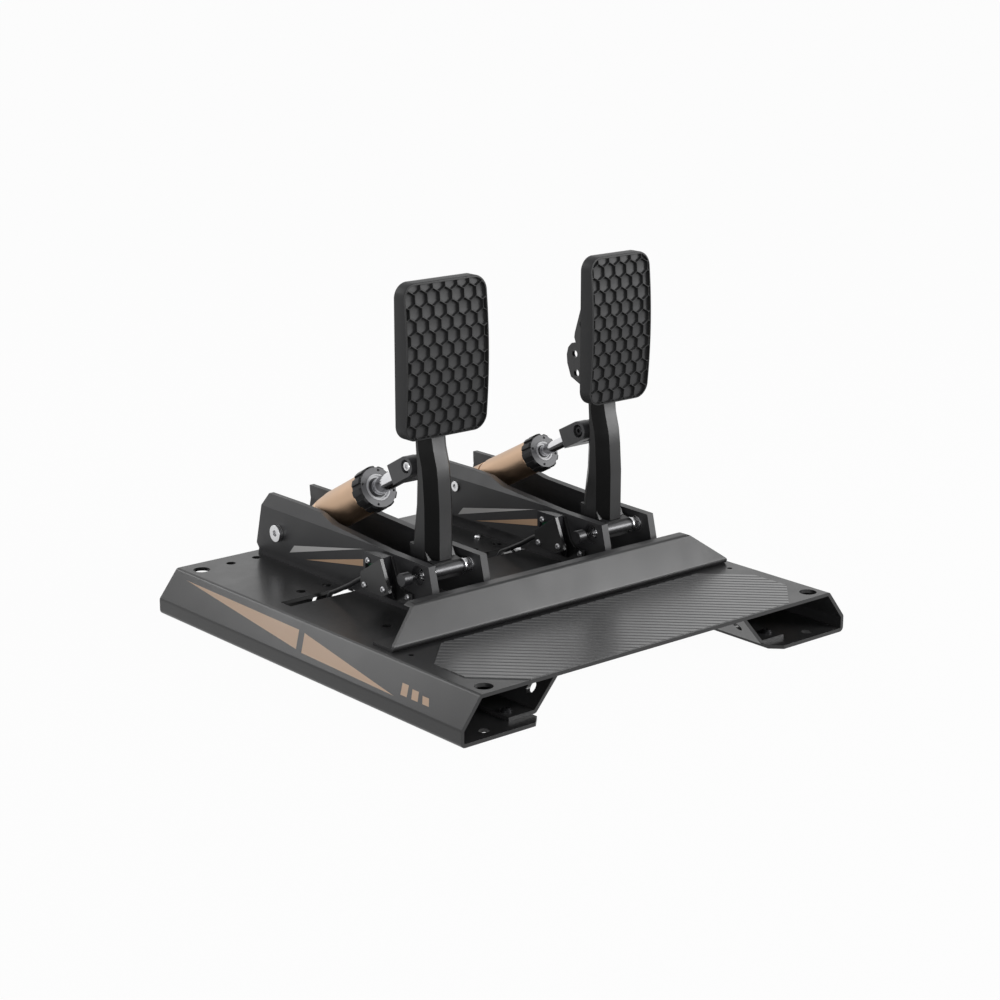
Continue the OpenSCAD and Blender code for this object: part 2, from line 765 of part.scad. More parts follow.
module channel(m) {
    x = module_x[m];
    left = x - channel_half - 1;
    right = x + channel_half + 1;
    difference() {
        intersection() {
            translate([x, 0, 0]) along_y(channel_back, channel_len) channel_section();
            along_x(x - channel_half, x + channel_half) channel_side();
        }
        cross_rod(left, right, bush_d, pivot_back, pivot_z);
        cross_rod(left, left + 1 + recess_depth, recess_d, pivot_back, pivot_z);
        cross_rod(left, right, rear_bolt_d[m] + screw_play, rear_back[m], rear_z[m]);
        for (column = channel_columns[m], back = grid_rows)
            upright(column, back, base_h - 1, floor_top + 1, m5[0] + screw_play);
        for (p = bracket_screws)
            cross_rod(left, x - inner_half - 1, m3_bore, p[0], p[1] + base_h);
    }
}

module brake_channel() {
    color(satin_black) channel(BRAKE);
}

module throttle_channel() {
    color(satin_black) channel(THROTTLE);
}

module channel_screws() {
    color(dark_bolt)
        for (m = PEDALS, column = channel_columns[m], back = grid_rows)
            translate([column, from_front(back), floor_top]) screw_down(m5, channel_screw_grip);
}

module channel_nuts() {
    color(bright)
        for (m = PEDALS, column = channel_columns[m], back = grid_rows)
            difference() {
                union() {
                    upright(column, back, plate_low - nut_flange_t, plate_low, nut_flange_d);
                    translate([column, from_front(back), plate_low - nut_h])
                        cylinder(d = nut_hex_d, h = nut_h, $fn = 6);
                }
                upright(column, back, plate_low - nut_h - 1, plate_low + 1, m5[0] + screw_play);
            }
}

module pivot_bush(x0, x1, collar_x) {
    difference() {
        union() {
            cross_rod(x0, x1, bush_d, pivot_back, pivot_z);
            cross_rod(collar_x, collar_x + bush_collar_t, bush_collar_d, pivot_back, pivot_z);
        }
        cross_rod(x0 - 2, x1 + 2, axle_d + 2 * run_gap, pivot_back, pivot_z);
    }
}

module pivot_bushes() {
    color(bronze)
        for (x = module_x) {
            pivot_bush(x - channel_half + recess_depth, x - inner_half, x - inner_half);
            pivot_bush(x + inner_half, x + channel_half, x + collar_face);
        }
}

module rear_bolt(m) {
    left = module_x[m] - channel_half;
    d = rear_bolt_d[m];
    head = rear_head_t[m];
    nut = d * 0.8;
    difference() {
        union() {
            cross_rod(left - 1, module_x[m] + channel_half + nut, d, rear_back[m], rear_z[m]);
            cross_rod(left - head, left, rear_head_d[m], rear_back[m], rear_z[m]);
        }
        cross_hex(left - head - 1, left - head / 3, d * 0.7, rear_back[m], rear_z[m]);
    }
}

module brake_rear_bolt() {
    color(bright) rear_bolt(BRAKE);
}

module throttle_rear_bolt() {
    color(bright) rear_bolt(THROTTLE);
}

module rear_nut(m) {
    right = module_x[m] + channel_half;
    difference() {
        cross_hex(right, right + rear_bolt_d[m] * 0.8, rear_nut_d[m], rear_back[m], rear_z[m]);
        cross_rod(right - 1, right + rear_bolt_d[m], rear_bolt_d[m] + screw_play, rear_back[m], rear_z[m]);
    }
}

module rear_nuts() {
    color(bright)
        for (m = PEDALS) rear_nut(m);
}

module rear_spacers() {
    color(bright)
        for (m = PEDALS, s = SIDES) {
            mid = module_x[m] + s * (inner_half + eye_half[m] + seat_gap) / 2;
            half = (inner_half - eye_half[m] - seat_gap) / 2;
            bore = rear_bolt_d[m] + screw_play;
            difference() {
                cross_rod(mid - half, mid + half, rear_bolt_d[m] + 4, rear_back[m], rear_z[m]);
                cross_rod(mid - half - 1, mid + half + 1, bore, rear_back[m], rear_z[m]);
            }
        }
}

// Sensors on the left wall of each channel

module sensor_brackets() {
    color(steel_black)
        for (x = module_x)
            difference() {
                along_x(x - shell_in, x - channel_half) polygon(above_plate(bracket_outline));
                for (p = bracket_screws)
                    cross_rod(x - shell_in - 1, x - channel_half + 1, m3_bore, p[0], p[1] + base_h);
            }
}

module sensor_housings() {
    color(satin_black)
        for (x = module_x)
            difference() {
                skin([
                    [for (p = shell_outer) [x - shell_out, from_front(p[0]), p[1] + base_h]],
                    [for (p = shell_inner) [x - shell_in, from_front(p[0]), p[1] + base_h]]]);
                along_x(x - shell_out - 1, x - well_out)
                    offset(delta = seat_gap)
                        polygon(above_plate(board_outline));
                along_x(x - well_out - 1, x - well_in) polygon(above_plate(well_outline));
                cross_rod(
                    x - well_in - 1, x - shell_in + 1, m3_bore,
                    bracket_screws[1][0], bracket_screws[1][1] + base_h);
                for (p = concat(cover_screws, [shell_screw]))
                    cross_rod(x - shell_out - 1, x - shell_out + 6, m3_bore, p[0], p[1] + base_h);
                translate([cable_x[0] + brake_left + x, from_front(box_rear + 1), cable_z])
                    rotate([90, 0, 0])
                        cylinder(d = cable_d + screw_play, h = 8);
            }
}

module sensor_boards() {
    color(board_green)
        for (x = module_x) {
            along_x(x - well_out - board_t, x - well_out) polygon(above_plate(board_outline));
            along_x(x - well_out - board_t - chip_t, x - well_out - board_t / 2)
                polygon(above_plate(chip_outline));
        }
}

module sensor_covers() {
    color(steel_black)
        for (x = module_x)
            difference() {
                along_x(x - box_out, x - shell_out) polygon(above_plate(cover_outline));
                for (p = cover_screws)
                    cross_rod(x - box_out - 1, x - shell_out + 1, m3_bore, p[0], p[1] + base_h);
            }
}

module sensor_screw(x, place, grip) {
    screw_right(m3, grip, x, place[0], place[1] + base_h);
}

module sensor_screws() {
    color(bright)
        for (x = module_x) {
            sensor_screw(x - shell_out, shell_screw, sensor_screw_grip - sensor_cover_t);
            sensor_screw(x - shell_in, bracket_screws[0], sensor_screw_grip);
            sensor_screw(x - well_in, bracket_screws[1], sensor_screw_grip);
            for (p = cover_screws) sensor_screw(x - box_out, p, sensor_screw_grip);
        }
}

module sensor_cables() {
    color(rubber_black)
        for (route = cable_routes)
            tube_along(
                smooth_route([for (p = route) [p[0], from_front(p[1]), p[2]]], cable_steps),
                cable_d / 2, cable_sides, [1, 0, 0]);
}

// Control box under the plate

module control_box() {
    w = control_wall;
    front = from_front(control_front);
    color(satin_black) difference() {
        union() {
            difference() {
                translate([control_left, front, control_low])
                    cube([control_w, control_depth, control_top - control_low]);
                translate([control_left + w, front + w, control_low + w])
                    cube([control_w - 2 * w, control_depth - 2 * w, control_h]);
            }
            for (x = control_screw_x)
                upright(x, control_mid, control_low + 1, control_top, control_post_d);
            for (s = SIDES)
                translate([control_x + s * (control_board_w / 2 - 4) - 1.5, front + 1, control_low + 1])
                    cube([3, control_depth - 2, w + control_rib_h - 1]);
        }
        for (x = control_screw_x)
            upright(x, control_mid, control_low + 4, control_top + 1, m4[0] + screw_play);
        cross_rod(
            control_left - 1, control_left + w + 1, cable_d + screw_play, brake_inlet_back, cable_end_z);
        translate([throttle_inlet_x, from_front(control_front + control_wall + 1), cable_end_z])
            rotate([90, 0, 0])
                cylinder(d = cable_d + screw_play, h = control_wall + 2);
        translate([
            control_x - socket_w / 2, from_front(control_front + control_depth) - control_wall - 1,
            control_low + control_wall + control_rib_h + board_t - socket_sink])
            cube([socket_w, control_wall + 2, socket_h + socket_sink]);
    }
}

module control_lid() {
    color(satin_black) difference() {
        translate([control_left, from_front(control_front), control_top])
            cube([control_w, control_depth, control_lid_t]);
        for (x = control_screw_x)
            upright(x, control_mid, control_top - 1, plate_low + 1, m4[0] + screw_play);
    }
}

module control_board() {
    board_low = control_low + control_wall + control_rib_h;
    front = from_front(control_front) + control_wall + control_board_inset;
    depth = control_depth - 2 * (control_wall + control_board_inset);
    inset = 0.3;
    sink = socket_sink - inset;
    color(board_green) {
        translate([control_x - control_board_w / 2, front, board_low])
            cube([control_board_w, depth, board_t]);
        translate([control_x - 6, front + 12, board_low + 1]) cube([12, 12, board_t + 0.8]);
        difference() {
            translate([control_x - socket_w / 2 + inset, front + depth - 7, board_low + board_t - sink])
                cube([socket_w - 2 * inset, 7.5 + control_board_inset, socket_h + sink - inset]);
            translate([control_x - socket_w / 2 + 4 * inset, front + depth - 1.5, board_low + board_t + 0.7])
                cube([socket_w - 8 * inset, 5, socket_h - 1.8]);
        }
    }
}

module control_screws() {
    color(bright)
        for (x = control_screw_x)
            translate([x, from_front(control_mid), base_h]) screw_down(m4, control_screw_grip);
}

// Pedal arms

function arm_ring(section) =
    let (f = from_front(section[1]), b = from_front(section[2]), z = base_h + section[0],
         e = arm_front_w / 2, front_cut = min(9, (b - f) / 2), rear_cut = min(8, (b - f) / 3))
    [[e, f, z], [arm_half, f + front_cut, z], [arm_half, b - rear_cut, z], [8, b, z],
     [-8, b, z], [-arm_half, b - rear_cut, z], [-arm_half, f + front_cut, z], [-e, f, z]];

module arm(m) {
    x = module_x[m];
    difference() {
        union() {
            translate([x, 0, 0]) skin([for (section = arm_sections) arm_ring(section)]);
            along_x(x - arm_half + seat_gap, x + arm_half - seat_gap) polygon(above_plate(foot_outline));
            along_x(x - tongue_w / 2, x + tongue_w / 2) polygon([
                [tongue_front, tongue_low], [tongue_rear, tongue_low], [tongue_rear, tongue_top - 4],
                [tongue_rear - 4, tongue_top], [tongue_front, tongue_top]]);
            cross_rod(x - lug_half, x + lug_half, 2 * lug_r, clevis_back, clevis_z);
            translate([x - lug_half, from_front(clevis_back - lug_root), clevis_z - lug_r])
                cube([lug_w, lug_root, 2 * lug_r]);
        }
        cross_rod(x - arm_half - 1, x + arm_half + 1, sleeve_d + 2 * run_gap, pivot_back, pivot_z);
        cross_rod(x - lug_half - 1, x + lug_half + 1, clevis_bolt_d + 2 * lug_gap, clevis_back, clevis_z);
        for (s = SIDES)
            translate([s * (lug_half + cheek_room_w / 2), 0, 0])
                cross_rod(x - cheek_room_w / 2, x + cheek_room_w / 2, cheek_room_d, clevis_back, clevis_z);
        for (p = tongue_bolts) cross_rod(x - tongue_w, x + tongue_w, m6[0] + screw_play, p[0], p[1]);
    }
}

module axle(m) {
    x = module_x[m];
    end = x - channel_half + axle_end_in;
    cross_rod(x - channel_half - cap_out + cap_end_t + 0.2, end + 1, axle_stud_d, pivot_back, pivot_z);
    cross_rod(end, x + channel_half, axle_d, pivot_back, pivot_z);
    cross_rod(x - collar_face + seat_gap, x - arm_half, shoulder_d, pivot_back, pivot_z);
}

module pivot_sleeve(m) {
    x = module_x[m];
    difference() {
        cross_rod(x - arm_half, x + arm_half, sleeve_d, pivot_back, pivot_z);
        cross_rod(x - arm_half - 1, x + arm_half + 1, axle_d + 2 * run_gap, pivot_back, pivot_z);
    }
}

module locknut(m) {
    x = module_x[m];
    difference() {
        union() {
            cross_rod(x + arm_half, x + arm_half + lock_washer_t, lock_nut_d + 1, pivot_back, pivot_z);
            cross_hex(x + arm_half + 1, x + lock_nut_end, lock_nut_d, pivot_back, pivot_z);
        }
        cross_rod(x + arm_half - 1, x + inner_half, axle_d + 2 * run_gap, pivot_back, pivot_z);
    }
}

module magnet_cap(m) {
    left = module_x[m] - channel_half;
    difference() {
        cross_rod(left - cap_out, left - cap_in, cap_d, pivot_back, pivot_z);
        cross_rod(
            left - cap_out + cap_end_t, left - cap_in + 1, axle_stud_d + 2 * run_gap, pivot_back, pivot_z);
    }
}

module pad_bracket(m) {
    x = module_x[m];
    c = bracket_cut;
    low = pad_z + ear_outline[0][1];
    top = pad_z + bracket_top;
    ear = [for (p = ear_outline) [pad_back + min(p[0], ear_reach[m]), pad_z + p[1]]];
    difference() {
        union() {
            along_y(pad_back, bracket_t) polygon([
                [x - bracket_half + c, low], [x + bracket_half - c, low], [x + bracket_half, low + c],
                [x + bracket_half, top - c], [x + bracket_half - c, top], [x - bracket_half + c, top],
                [x - bracket_half, top - c], [x - bracket_half, low + c]]);
            along_x(x - ear_out, x - ear_in) polygon(ear);
            along_x(x + ear_in, x + ear_out) polygon(ear);
        }
        for (p = concat(tongue_bolts, spare_holes))
            cross_rod(x - ear_out - 1, x + ear_out + 1, m6[0] + screw_play, p[0], p[1]);
        for (s = SIDES, z = pad_screw_z)
            translate([x + s * pad_screw_x, from_front(pad_back + bracket_t + 1), z])
                rotate([90, 0, 0])
                    cylinder(d = m5[0] + screw_play, h = bracket_t + 2);
    }
}

module bracket_bolts(m) {
    x = module_x[m];
    for (p = tongue_bolts) {
        screw_right(m6, 2 * ear_out + 1, x - ear_out, p[0], p[1]);
        cross_hex(x + ear_out, x + ear_out + bracket_nut_t, bracket_nut_d, p[0], p[1]);
    }
}

// Pads

module dimples(m) {
    w = pad_w[m] - 2 * pad_rim;
    h = pad_h - 2 * pad_rim;
    columns = ceil(w / dimple_pitch / 2) + 1;
    rows = ceil(h / dimple_row / 2) + 1;
    intersection() {
        rounded_outline(w, h, pad_corner - pad_rim);
        for (j = [-rows:rows], i = [-columns:columns])
            translate([(i + (j % 2 == 0 ? 0 : 0.5)) * dimple_pitch, j * dimple_row - dimple_shift])
                rotate(30)
                    circle(d = dimple_d, $fn = 6);
    }
}

module pad_curve_rod(m, r) {
    translate([module_x[m] - pad_w[m], from_front(pad_back - pad_t + pad_curve), pad_mid])
        rotate([0, 90, 0])
            cylinder(r = r, h = 2 * pad_w[m], $fn = 720);
}

module pad(m) {
    difference() {
        intersection() {
            along_y(pad_back - pad_t - 1, pad_t + 1)
                translate([module_x[m], pad_mid]) rounded_outline(pad_w[m], pad_h, pad_corner);
            pad_curve_rod(m, pad_curve);
        }
        difference() {
            along_y(pad_back - pad_t - 1, pad_t) translate([module_x[m], pad_mid]) dimples(m);
            pad_curve_rod(m, pad_curve - dimple_depth);
        }
        for (s = SIDES, z = pad_screw_z)
            translate([module_x[m] + s * pad_screw_x, from_front(pad_back + 1), z])
                rotate([90, 0, 0])
                    cylinder(d = m5[0] + screw_play, h = pad_screw_grip - bracket_t + 2);
    }
}

module pad_screws(m) {
    for (s = SIDES, z = pad_screw_z)
        translate([module_x[m] + s * pad_screw_x, from_front(pad_back + bracket_t), z])
            rotate([-90, 0, 0])
                screw_down(m5, pad_screw_grip);
}

// Dampers, drawn along +Z from the clevis bolt to the rear bolt

module damper(m) {
    translate([module_x[m], from_front(clevis_back), clevis_z])
        rotate([damper_tilt[m], 0, 0]) children();
}

// A rod across the damper at a distance along it
module damper_cross(x0, x1, d, at) {
    translate([x0, 0, at]) rotate([0, 90, 0]) cylinder(d = d, h = x1 - x0);
}

module clevis(m) {
    damper(m) difference() {
        intersection() {
            translate([-clevis_half, 0, 0])
                rotate([90, 0, 90])
                    linear_extrude(height = clevis_w) {
                        circle(clevis_nose);
                        polygon([
                            [-clevis_nose, 0], [clevis_nose, 0], [clevis_nose, clevis_len - clevis_cut],
                            [clevis_nose - clevis_cut, clevis_len], [clevis_cut - clevis_nose, clevis_len],
                            [-clevis_nose, clevis_len - clevis_cut]]);
                    }
            rotate([90, 0, 0])
                translate([0, 0, -clevis_nose - 1])
                    linear_extrude(height = clevis_d + 2)
                        polygon([
                            [-clevis_half, -clevis_nose - 1], [clevis_half, -clevis_nose - 1],
                            [clevis_half, clevis_len - 5], [clevis_half - 4, clevis_len],
                            [4 - clevis_half, clevis_len], [-clevis_half, clevis_len - 5]]);
        }
        translate([-cheek_in, -clevis_d, -clevis_d])
            cube([2 * cheek_in, 2 * clevis_d, clevis_d + clevis_slot]);
        damper_cross(-clevis_half - 1, clevis_half + 1, clevis_bolt_d + screw_play, 0);
        damper_cross(-clevis_half - 1, clevis_head_depth - clevis_half, m6[1] + 1, 0);
        translate([0, 0, clevis_slot - 1]) cylinder(r = thread_r + screw_play / 2, h = clevis_len);
    }
}

module clevis_bolt(m) {
    damper(m)
        translate([clevis_head_depth - clevis_half, 0, 0])
            rotate([0, -90, 0])
                screw_down([clevis_bolt_d, m6[1], m6[2]], clevis_w - clevis_head_depth - 1);
}

module rod(m) {
    r = piston_r[m];
    damper(m) {
        translate([0, 0, thread_from]) cylinder(r = thread_r, h = rod_from[m] - thread_from + 1);
        translate([0, 0, rod_from[m]]) cylinder(r = rod_r[m], h = piston_from[m] - rod_from[m] + 1);
        translate([0, 0, piston_from[m]]) rotate_extrude() polygon([
            [0, 0], [r, 0], [r, piston_t / 2 - 1], [r - 1.2, piston_t / 2 - 1],
            [r - 1.2, piston_t / 2 + 1], [r, piston_t / 2 + 1], [r, piston_t], [0, piston_t]]);
    }
}

module gland(m) {
    r = gland_r[m];
    from = knob_at[m] - 0.2;
    lip = 1;
    neck = barrel_from[m] - from;
    damper(m) translate([0, 0, from]) rotate_extrude() polygon([
        [rod_r[m] + run_gap, gland_sink], [r - gland_ring + gland_lip, gland_sink],
        [r - gland_ring + gland_lip, 0], [r + gland_lip, 0], [r + gland_lip, lip], [r, lip], [r, neck],
        [bore_r[m] - run_gap, neck], [bore_r[m] - run_gap, neck + gland_flange_t],
        [rod_r[m] + run_gap, neck + gland_flange_t]]);
}

module knob(m) {
    r = knob_r[m];
    hole = gland_r[m] + run_gap;
    damper(m) difference() {
        translate([0, 0, knob_at[m]]) rotate_extrude() polygon([
            [hole, knob_face_depth], [gland_r[m] + gland_lip + 0.2, knob_face_depth],
            [gland_r[m] + gland_lip + 0.2, 0], [r - 1.2, 0], [r, 1.2], [r, knob_t - 1.2], [r - 1.2, knob_t],
            [hole, knob_t]]);
        for (k = [0:knob_slots - 1])
            rotate(360 / knob_slots * (k + 0.5))
                translate([r - knob_notch_depth, -knob_notch_w / 2, knob_at[m] - 1])
                    cube([knob_notch_depth + 1, knob_notch_w, knob_t + 2]);
        for (k = [0:3])
            rotate(90 * k + 20)
                translate([knob_pin_at[m], 0, knob_at[m] - 1]) cylinder(r = knob_pin_r, h = 5);
    }
}

module barrel(m) {
    damper(m) rotate_extrude() polygon([
        [bore_r[m], barrel_from[m]], [barrel_r[m], barrel_from[m]], [barrel_r[m], barrel_to[m]],
        [taper_end_r[m], taper_to[m]], [taper_end_r[m] - groove_depth, taper_to[m]],
        [taper_end_r[m] - groove_depth, cap_from[m]], [stud_r + screw_play / 2, cap_from[m]],
        [stud_r + screw_play / 2, cap_from[m] - stud_len - 1], [0, cap_from[m] - stud_len - 1],
        [0, bore_to[m]], [bore_r[m], bore_to[m]]]);
}

module end_sleeve() {
    from = cap_from[BRAKE];
    play = screw_play / 2;
    damper(BRAKE) rotate_extrude() polygon([
        [0, from - stud_len], [stud_r, from - stud_len], [stud_r, from], [end_sleeve_r - 1, from],
        [end_sleeve_r, from + 1], [end_sleeve_rear_r, from + sleeve_len - 1],
        [end_sleeve_rear_r - 1, from + sleeve_len], [stud_r + play, from + sleeve_len],
        [stud_r + play, from + sleeve_len - stud_len - 1],
        [0, from + sleeve_len - stud_len - 1]]);
}

module rear_eye(m) {
    from = eye_from[m];
    r = eye_r[m];
    half = eye_half[m];
    damper(m) difference() {
        union() {
            translate([0, 0, from - stud_len]) cylinder(r = stud_r, h = stud_len + 1);
            intersection() {
                translate([0, 0, from]) cylinder(r = r, h = damper_len[m]);
                union() {
                    damper_cross(-half, half, 2 * r, damper_len[m]);
                    translate([-half, -r - 1, from]) cube([2 * half, 2 * r + 2, damper_len[m] - from]);
                }
            }
        }
        damper_cross(-half - 1, half + 1, rear_bolt_d[m] + 2 * run_gap, damper_len[m]);
    }
}

module brake_elastomers() {
    from = piston_to[BRAKE];
    room = bore_to[BRAKE] - from;
    disc = (room - (elastomers + 1) * seat_gap) / elastomers;
    color(rubber_black) damper(BRAKE)
        for (k = [0:elastomers - 1])
            translate([0, 0, from + seat_gap + k * (disc + seat_gap)])
                rotate_extrude() polygon([
                    [elastomer_bore_r, 0], [elastomer_r - 1, 0], [elastomer_r, 1], [elastomer_r, disc - 1],
                    [elastomer_r - 1, disc], [elastomer_bore_r, disc]]);
}

module throttle_spring() {
    from = piston_to[THROTTLE] + seat_gap + spring_wire / 2;
    rise = bore_to[THROTTLE] - seat_gap - spring_wire / 2 - from;
    steps = 11 * spring_coils;
    color(bright) damper(THROTTLE)
        tube_along(
            [for (k = [0:steps])
                let (a = 360 * spring_coils * k / steps)
                [spring_r * cos(a), spring_r * sin(a), from + rise * k / steps]],
            spring_wire / 2, 8, [1, 0, 0]);
}

module brake_arm() {
    color(satin_black) arm(BRAKE);
}

module throttle_arm() {
    color(satin_black) arm(THROTTLE);
}

module brake_axle() {
    color(bright) axle(BRAKE);
}

module throttle_axle() {
    color(bright) axle(THROTTLE);
}

module brake_sleeve() {
    color(bright) pivot_sleeve(BRAKE);
}

module throttle_sleeve() {
    color(bright) pivot_sleeve(THROTTLE);
}

module brake_locknut() {
    color(bright) locknut(BRAKE);
}

module throttle_locknut() {
    color(bright) locknut(THROTTLE);
}

module brake_magnet_cap() {
    color(dark_bolt) magnet_cap(BRAKE);
}

module throttle_magnet_cap() {
    color(dark_bolt) magnet_cap(THROTTLE);
}

module brake_bracket() {
    color(steel_black) pad_bracket(BRAKE);
}

module throttle_bracket() {
    color(steel_black) pad_bracket(THROTTLE);
}

module brake_bracket_bolts() {
    color(dark_bolt) bracket_bolts(BRAKE);
}

module throttle_bracket_bolts() {
    color(dark_bolt) bracket_bolts(THROTTLE);
}

module brake_pad() {
    color(rubber_black) pad(BRAKE);
}

module throttle_pad() {
    color(rubber_black) pad(THROTTLE);
}

module brake_pad_screws() {
    color(dark_bolt) pad_screws(BRAKE);
}

module throttle_pad_screws() {
    color(dark_bolt) pad_screws(THROTTLE);
}

module brake_barrel() {
    color(bronze) barrel(BRAKE);
}

module throttle_barrel() {
    color(bronze) barrel(THROTTLE);
}

module brake_gland() {
    color(bright) gland(BRAKE);
}

module throttle_gland() {
    color(bright) gland(THROTTLE);
}

module brake_end_sleeve() {
    color(bronze) end_sleeve();
}

module brake_rear_eye() {
    color(bronze) rear_eye(BRAKE);
}

module throttle_rear_eye() {
    color(bronze) rear_eye(THROTTLE);
}

module brake_knob() {
    color(satin_black) knob(BRAKE);
}

module throttle_knob() {
    color(satin_black) knob(THROTTLE);
}

module brake_clevis() {
    color(satin_black) clevis(BRAKE);
}

module throttle_clevis() {
    color(satin_black) clevis(THROTTLE);
}

module brake_clevis_bolt() {
    color(bright) clevis_bolt(BRAKE);
}

module throttle_clevis_bolt() {
    color(dark_bolt) clevis_bolt(THROTTLE);
}

module brake_rod() {
    color(bright) rod(BRAKE);
}

module throttle_rod() {
    color(bright) rod(THROTTLE);
}

module brake_jam_nut() {
    color(bright) damper(BRAKE) difference() {
        translate([0, 0, clevis_len]) cylinder(d = jam_nut_d, h = jam_nut_t, $fn = 6);
        translate([0, 0, clevis_len - 1]) cylinder(r = thread_r + screw_play / 2, h = jam_nut_t + 2);
    }
}

base_plate();
stiffeners();
base_screws();
heel_sheet();
heel_stop_bar();
brake_channel();
throttle_channel();
channel_screws();
channel_nuts();
pivot_bushes();
brake_rear_bolt();
throttle_rear_bolt();
rear_nuts();
rear_spacers();
sensor_brackets();
sensor_housings();
sensor_boards();
sensor_covers();
sensor_screws();
sensor_cables();
control_box();
control_lid();
control_board();
control_screws();
brake_arm();
brake_axle();
brake_sleeve();
brake_locknut();
brake_magnet_cap();
brake_bracket();
brake_bracket_bolts();
brake_pad();
brake_pad_screws();
throttle_arm();
throttle_axle();
throttle_sleeve();
throttle_locknut();
throttle_magnet_cap();
throttle_bracket();
throttle_bracket_bolts();
throttle_pad();
throttle_pad_screws();
brake_barrel();
brake_gland();
brake_end_sleeve();
brake_rear_eye();
brake_elastomers();
brake_knob();
throttle_barrel();
throttle_gland();
throttle_rear_eye();
throttle_spring();
throttle_knob();
brake_clevis();
brake_clevis_bolt();
brake_jam_nut();
brake_rod();
throttle_clevis();
throttle_clevis_bolt();
throttle_rod();
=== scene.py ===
import json
import math

import bmesh
import bpy
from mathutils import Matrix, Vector

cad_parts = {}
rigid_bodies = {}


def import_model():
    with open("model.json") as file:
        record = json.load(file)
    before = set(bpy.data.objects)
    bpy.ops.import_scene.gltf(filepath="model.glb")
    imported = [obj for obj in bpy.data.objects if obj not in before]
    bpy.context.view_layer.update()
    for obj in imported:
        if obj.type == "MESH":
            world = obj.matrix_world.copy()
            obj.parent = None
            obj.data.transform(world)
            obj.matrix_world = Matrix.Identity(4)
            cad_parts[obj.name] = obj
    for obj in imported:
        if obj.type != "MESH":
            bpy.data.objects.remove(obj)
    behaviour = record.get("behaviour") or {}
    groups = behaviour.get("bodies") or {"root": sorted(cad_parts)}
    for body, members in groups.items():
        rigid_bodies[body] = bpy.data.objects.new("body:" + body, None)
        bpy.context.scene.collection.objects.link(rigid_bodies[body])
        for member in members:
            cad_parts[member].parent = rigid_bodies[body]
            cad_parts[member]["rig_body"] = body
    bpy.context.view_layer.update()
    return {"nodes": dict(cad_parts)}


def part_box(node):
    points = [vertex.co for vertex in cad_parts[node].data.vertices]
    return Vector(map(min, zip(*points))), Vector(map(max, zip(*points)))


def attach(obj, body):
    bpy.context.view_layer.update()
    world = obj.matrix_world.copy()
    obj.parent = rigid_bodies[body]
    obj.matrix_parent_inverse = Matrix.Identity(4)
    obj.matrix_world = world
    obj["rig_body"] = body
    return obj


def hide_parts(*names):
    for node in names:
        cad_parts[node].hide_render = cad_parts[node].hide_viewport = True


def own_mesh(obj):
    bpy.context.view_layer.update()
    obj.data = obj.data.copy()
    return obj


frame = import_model()

bl_info = {
    "name": "Sim racing pedal set",
    "version": (1, 0, 0),
    "blender": (4, 5, 0),
    "location": "View3D > Sidebar > Pedals",
    "description": "Dresses a sim racing pedal set with a steel base, a brake and a throttle",
    "category": "Object",
}

MM = 0.001
SIDES = (-1, 1)
PEDALS = ("brake", "throttle")

# Camera, and each lamp with its place, the point that it looks at and its width
CAMERA_AT = (-1.14539, -1.35872, 0.59643)
SENSOR_WIDTH = 36.0
LAMPS = (
    ("key_light", (1.07, -1.28, 0.66), (0, 0, 0.12), 0.8),
    ("rim_light", (-0.75, 1.35, 1.05), (0, 0, 0.05), 0.65),
    ("side_light", (-1.35, -1.15, 0.30), (0, 0, 0.1), 0.5),
)
# Half the floor's width, how far it lies below the part, its grey, and how much of it shows as white background
FLOOR_REACH = 60.0
FLOOR_DROP = 0.0002
FLOOR_GREY = (0.50, 0.50, 0.50, 1.0)
FLOOR_SHARE = 0.97
WHITE = (1.0, 1.0, 1.0, 1.0)

# Rounding of fasteners and small turned parts, and of larger ones
FINE_EDGE = 0.0002
SMALL_EDGE = 0.0003
# Points this close are one point, and the points of neighbouring dimples this close
MERGE = 1e-6
DIMPLE_MERGE = 2e-5
# Faces that turn by less than this many degrees are one face
FLAT_ANGLE = 0.6
# Edges that turn by more than this many degrees are sharp
SHARP_ANGLE = 32.0
DIMPLE_SHARP_ANGLE = 24.0
RIB_SHARP_ANGLE = 25.0
CABLE_SHARP_ANGLE = 50.0

# Where the colour of a knob's face changes, and where the painted shade in a gland's recess gives way to its bright
# lip, measured from the damper's line
KNOB_RINGS = {"brake": 0.0168, "throttle": 0.0143}
GLAND_RINGS = {"brake": 0.0085, "throttle": 0.0057}

# Painted shapes in y and z, each counterclockwise seen from +x
SPEAR = [
    [(0.008, 0.0190), (0.178, 0.0318), (0.016, 0.0308)],
    [(-0.118, 0.0168), (0.000, 0.0182), (0.008, 0.0302)],
]
BARS = [
    [(y, 0.0190), (y + 0.0075, 0.0190), (y + 0.0115, top), (y + 0.004, top)]
    for y, top in ((-0.158, 0.0235), (-0.145, 0.0247), (-0.132, 0.0259))]
PALE_WEDGE = [[(0.036, 0.0768), (0.140, 0.0500), (0.133, 0.0575)]]
BRONZE_WEDGE = [[(0.026, 0.0640), (0.116, 0.0492), (0.028, 0.0702)]]
# Width of the base plate's slopes, and how far a painted face may stand from its nominal place
SLOPE_WIDTH = 0.0181
FACE_PLAY = 0.0001

# A rib of the heel sheet across its length: shares of the pitch and of the height, from groove to groove
RIB_HEIGHT = 0.0004
RIB_PROFILE = ((-0.5, -1), (-0.404, -1), (-0.34, 0), (0.34, 0), (0.404, -1), (0.5, -1))
# Width of the slanted cut between the dimples and the pads' rims
RIM_CUT = 0.0005
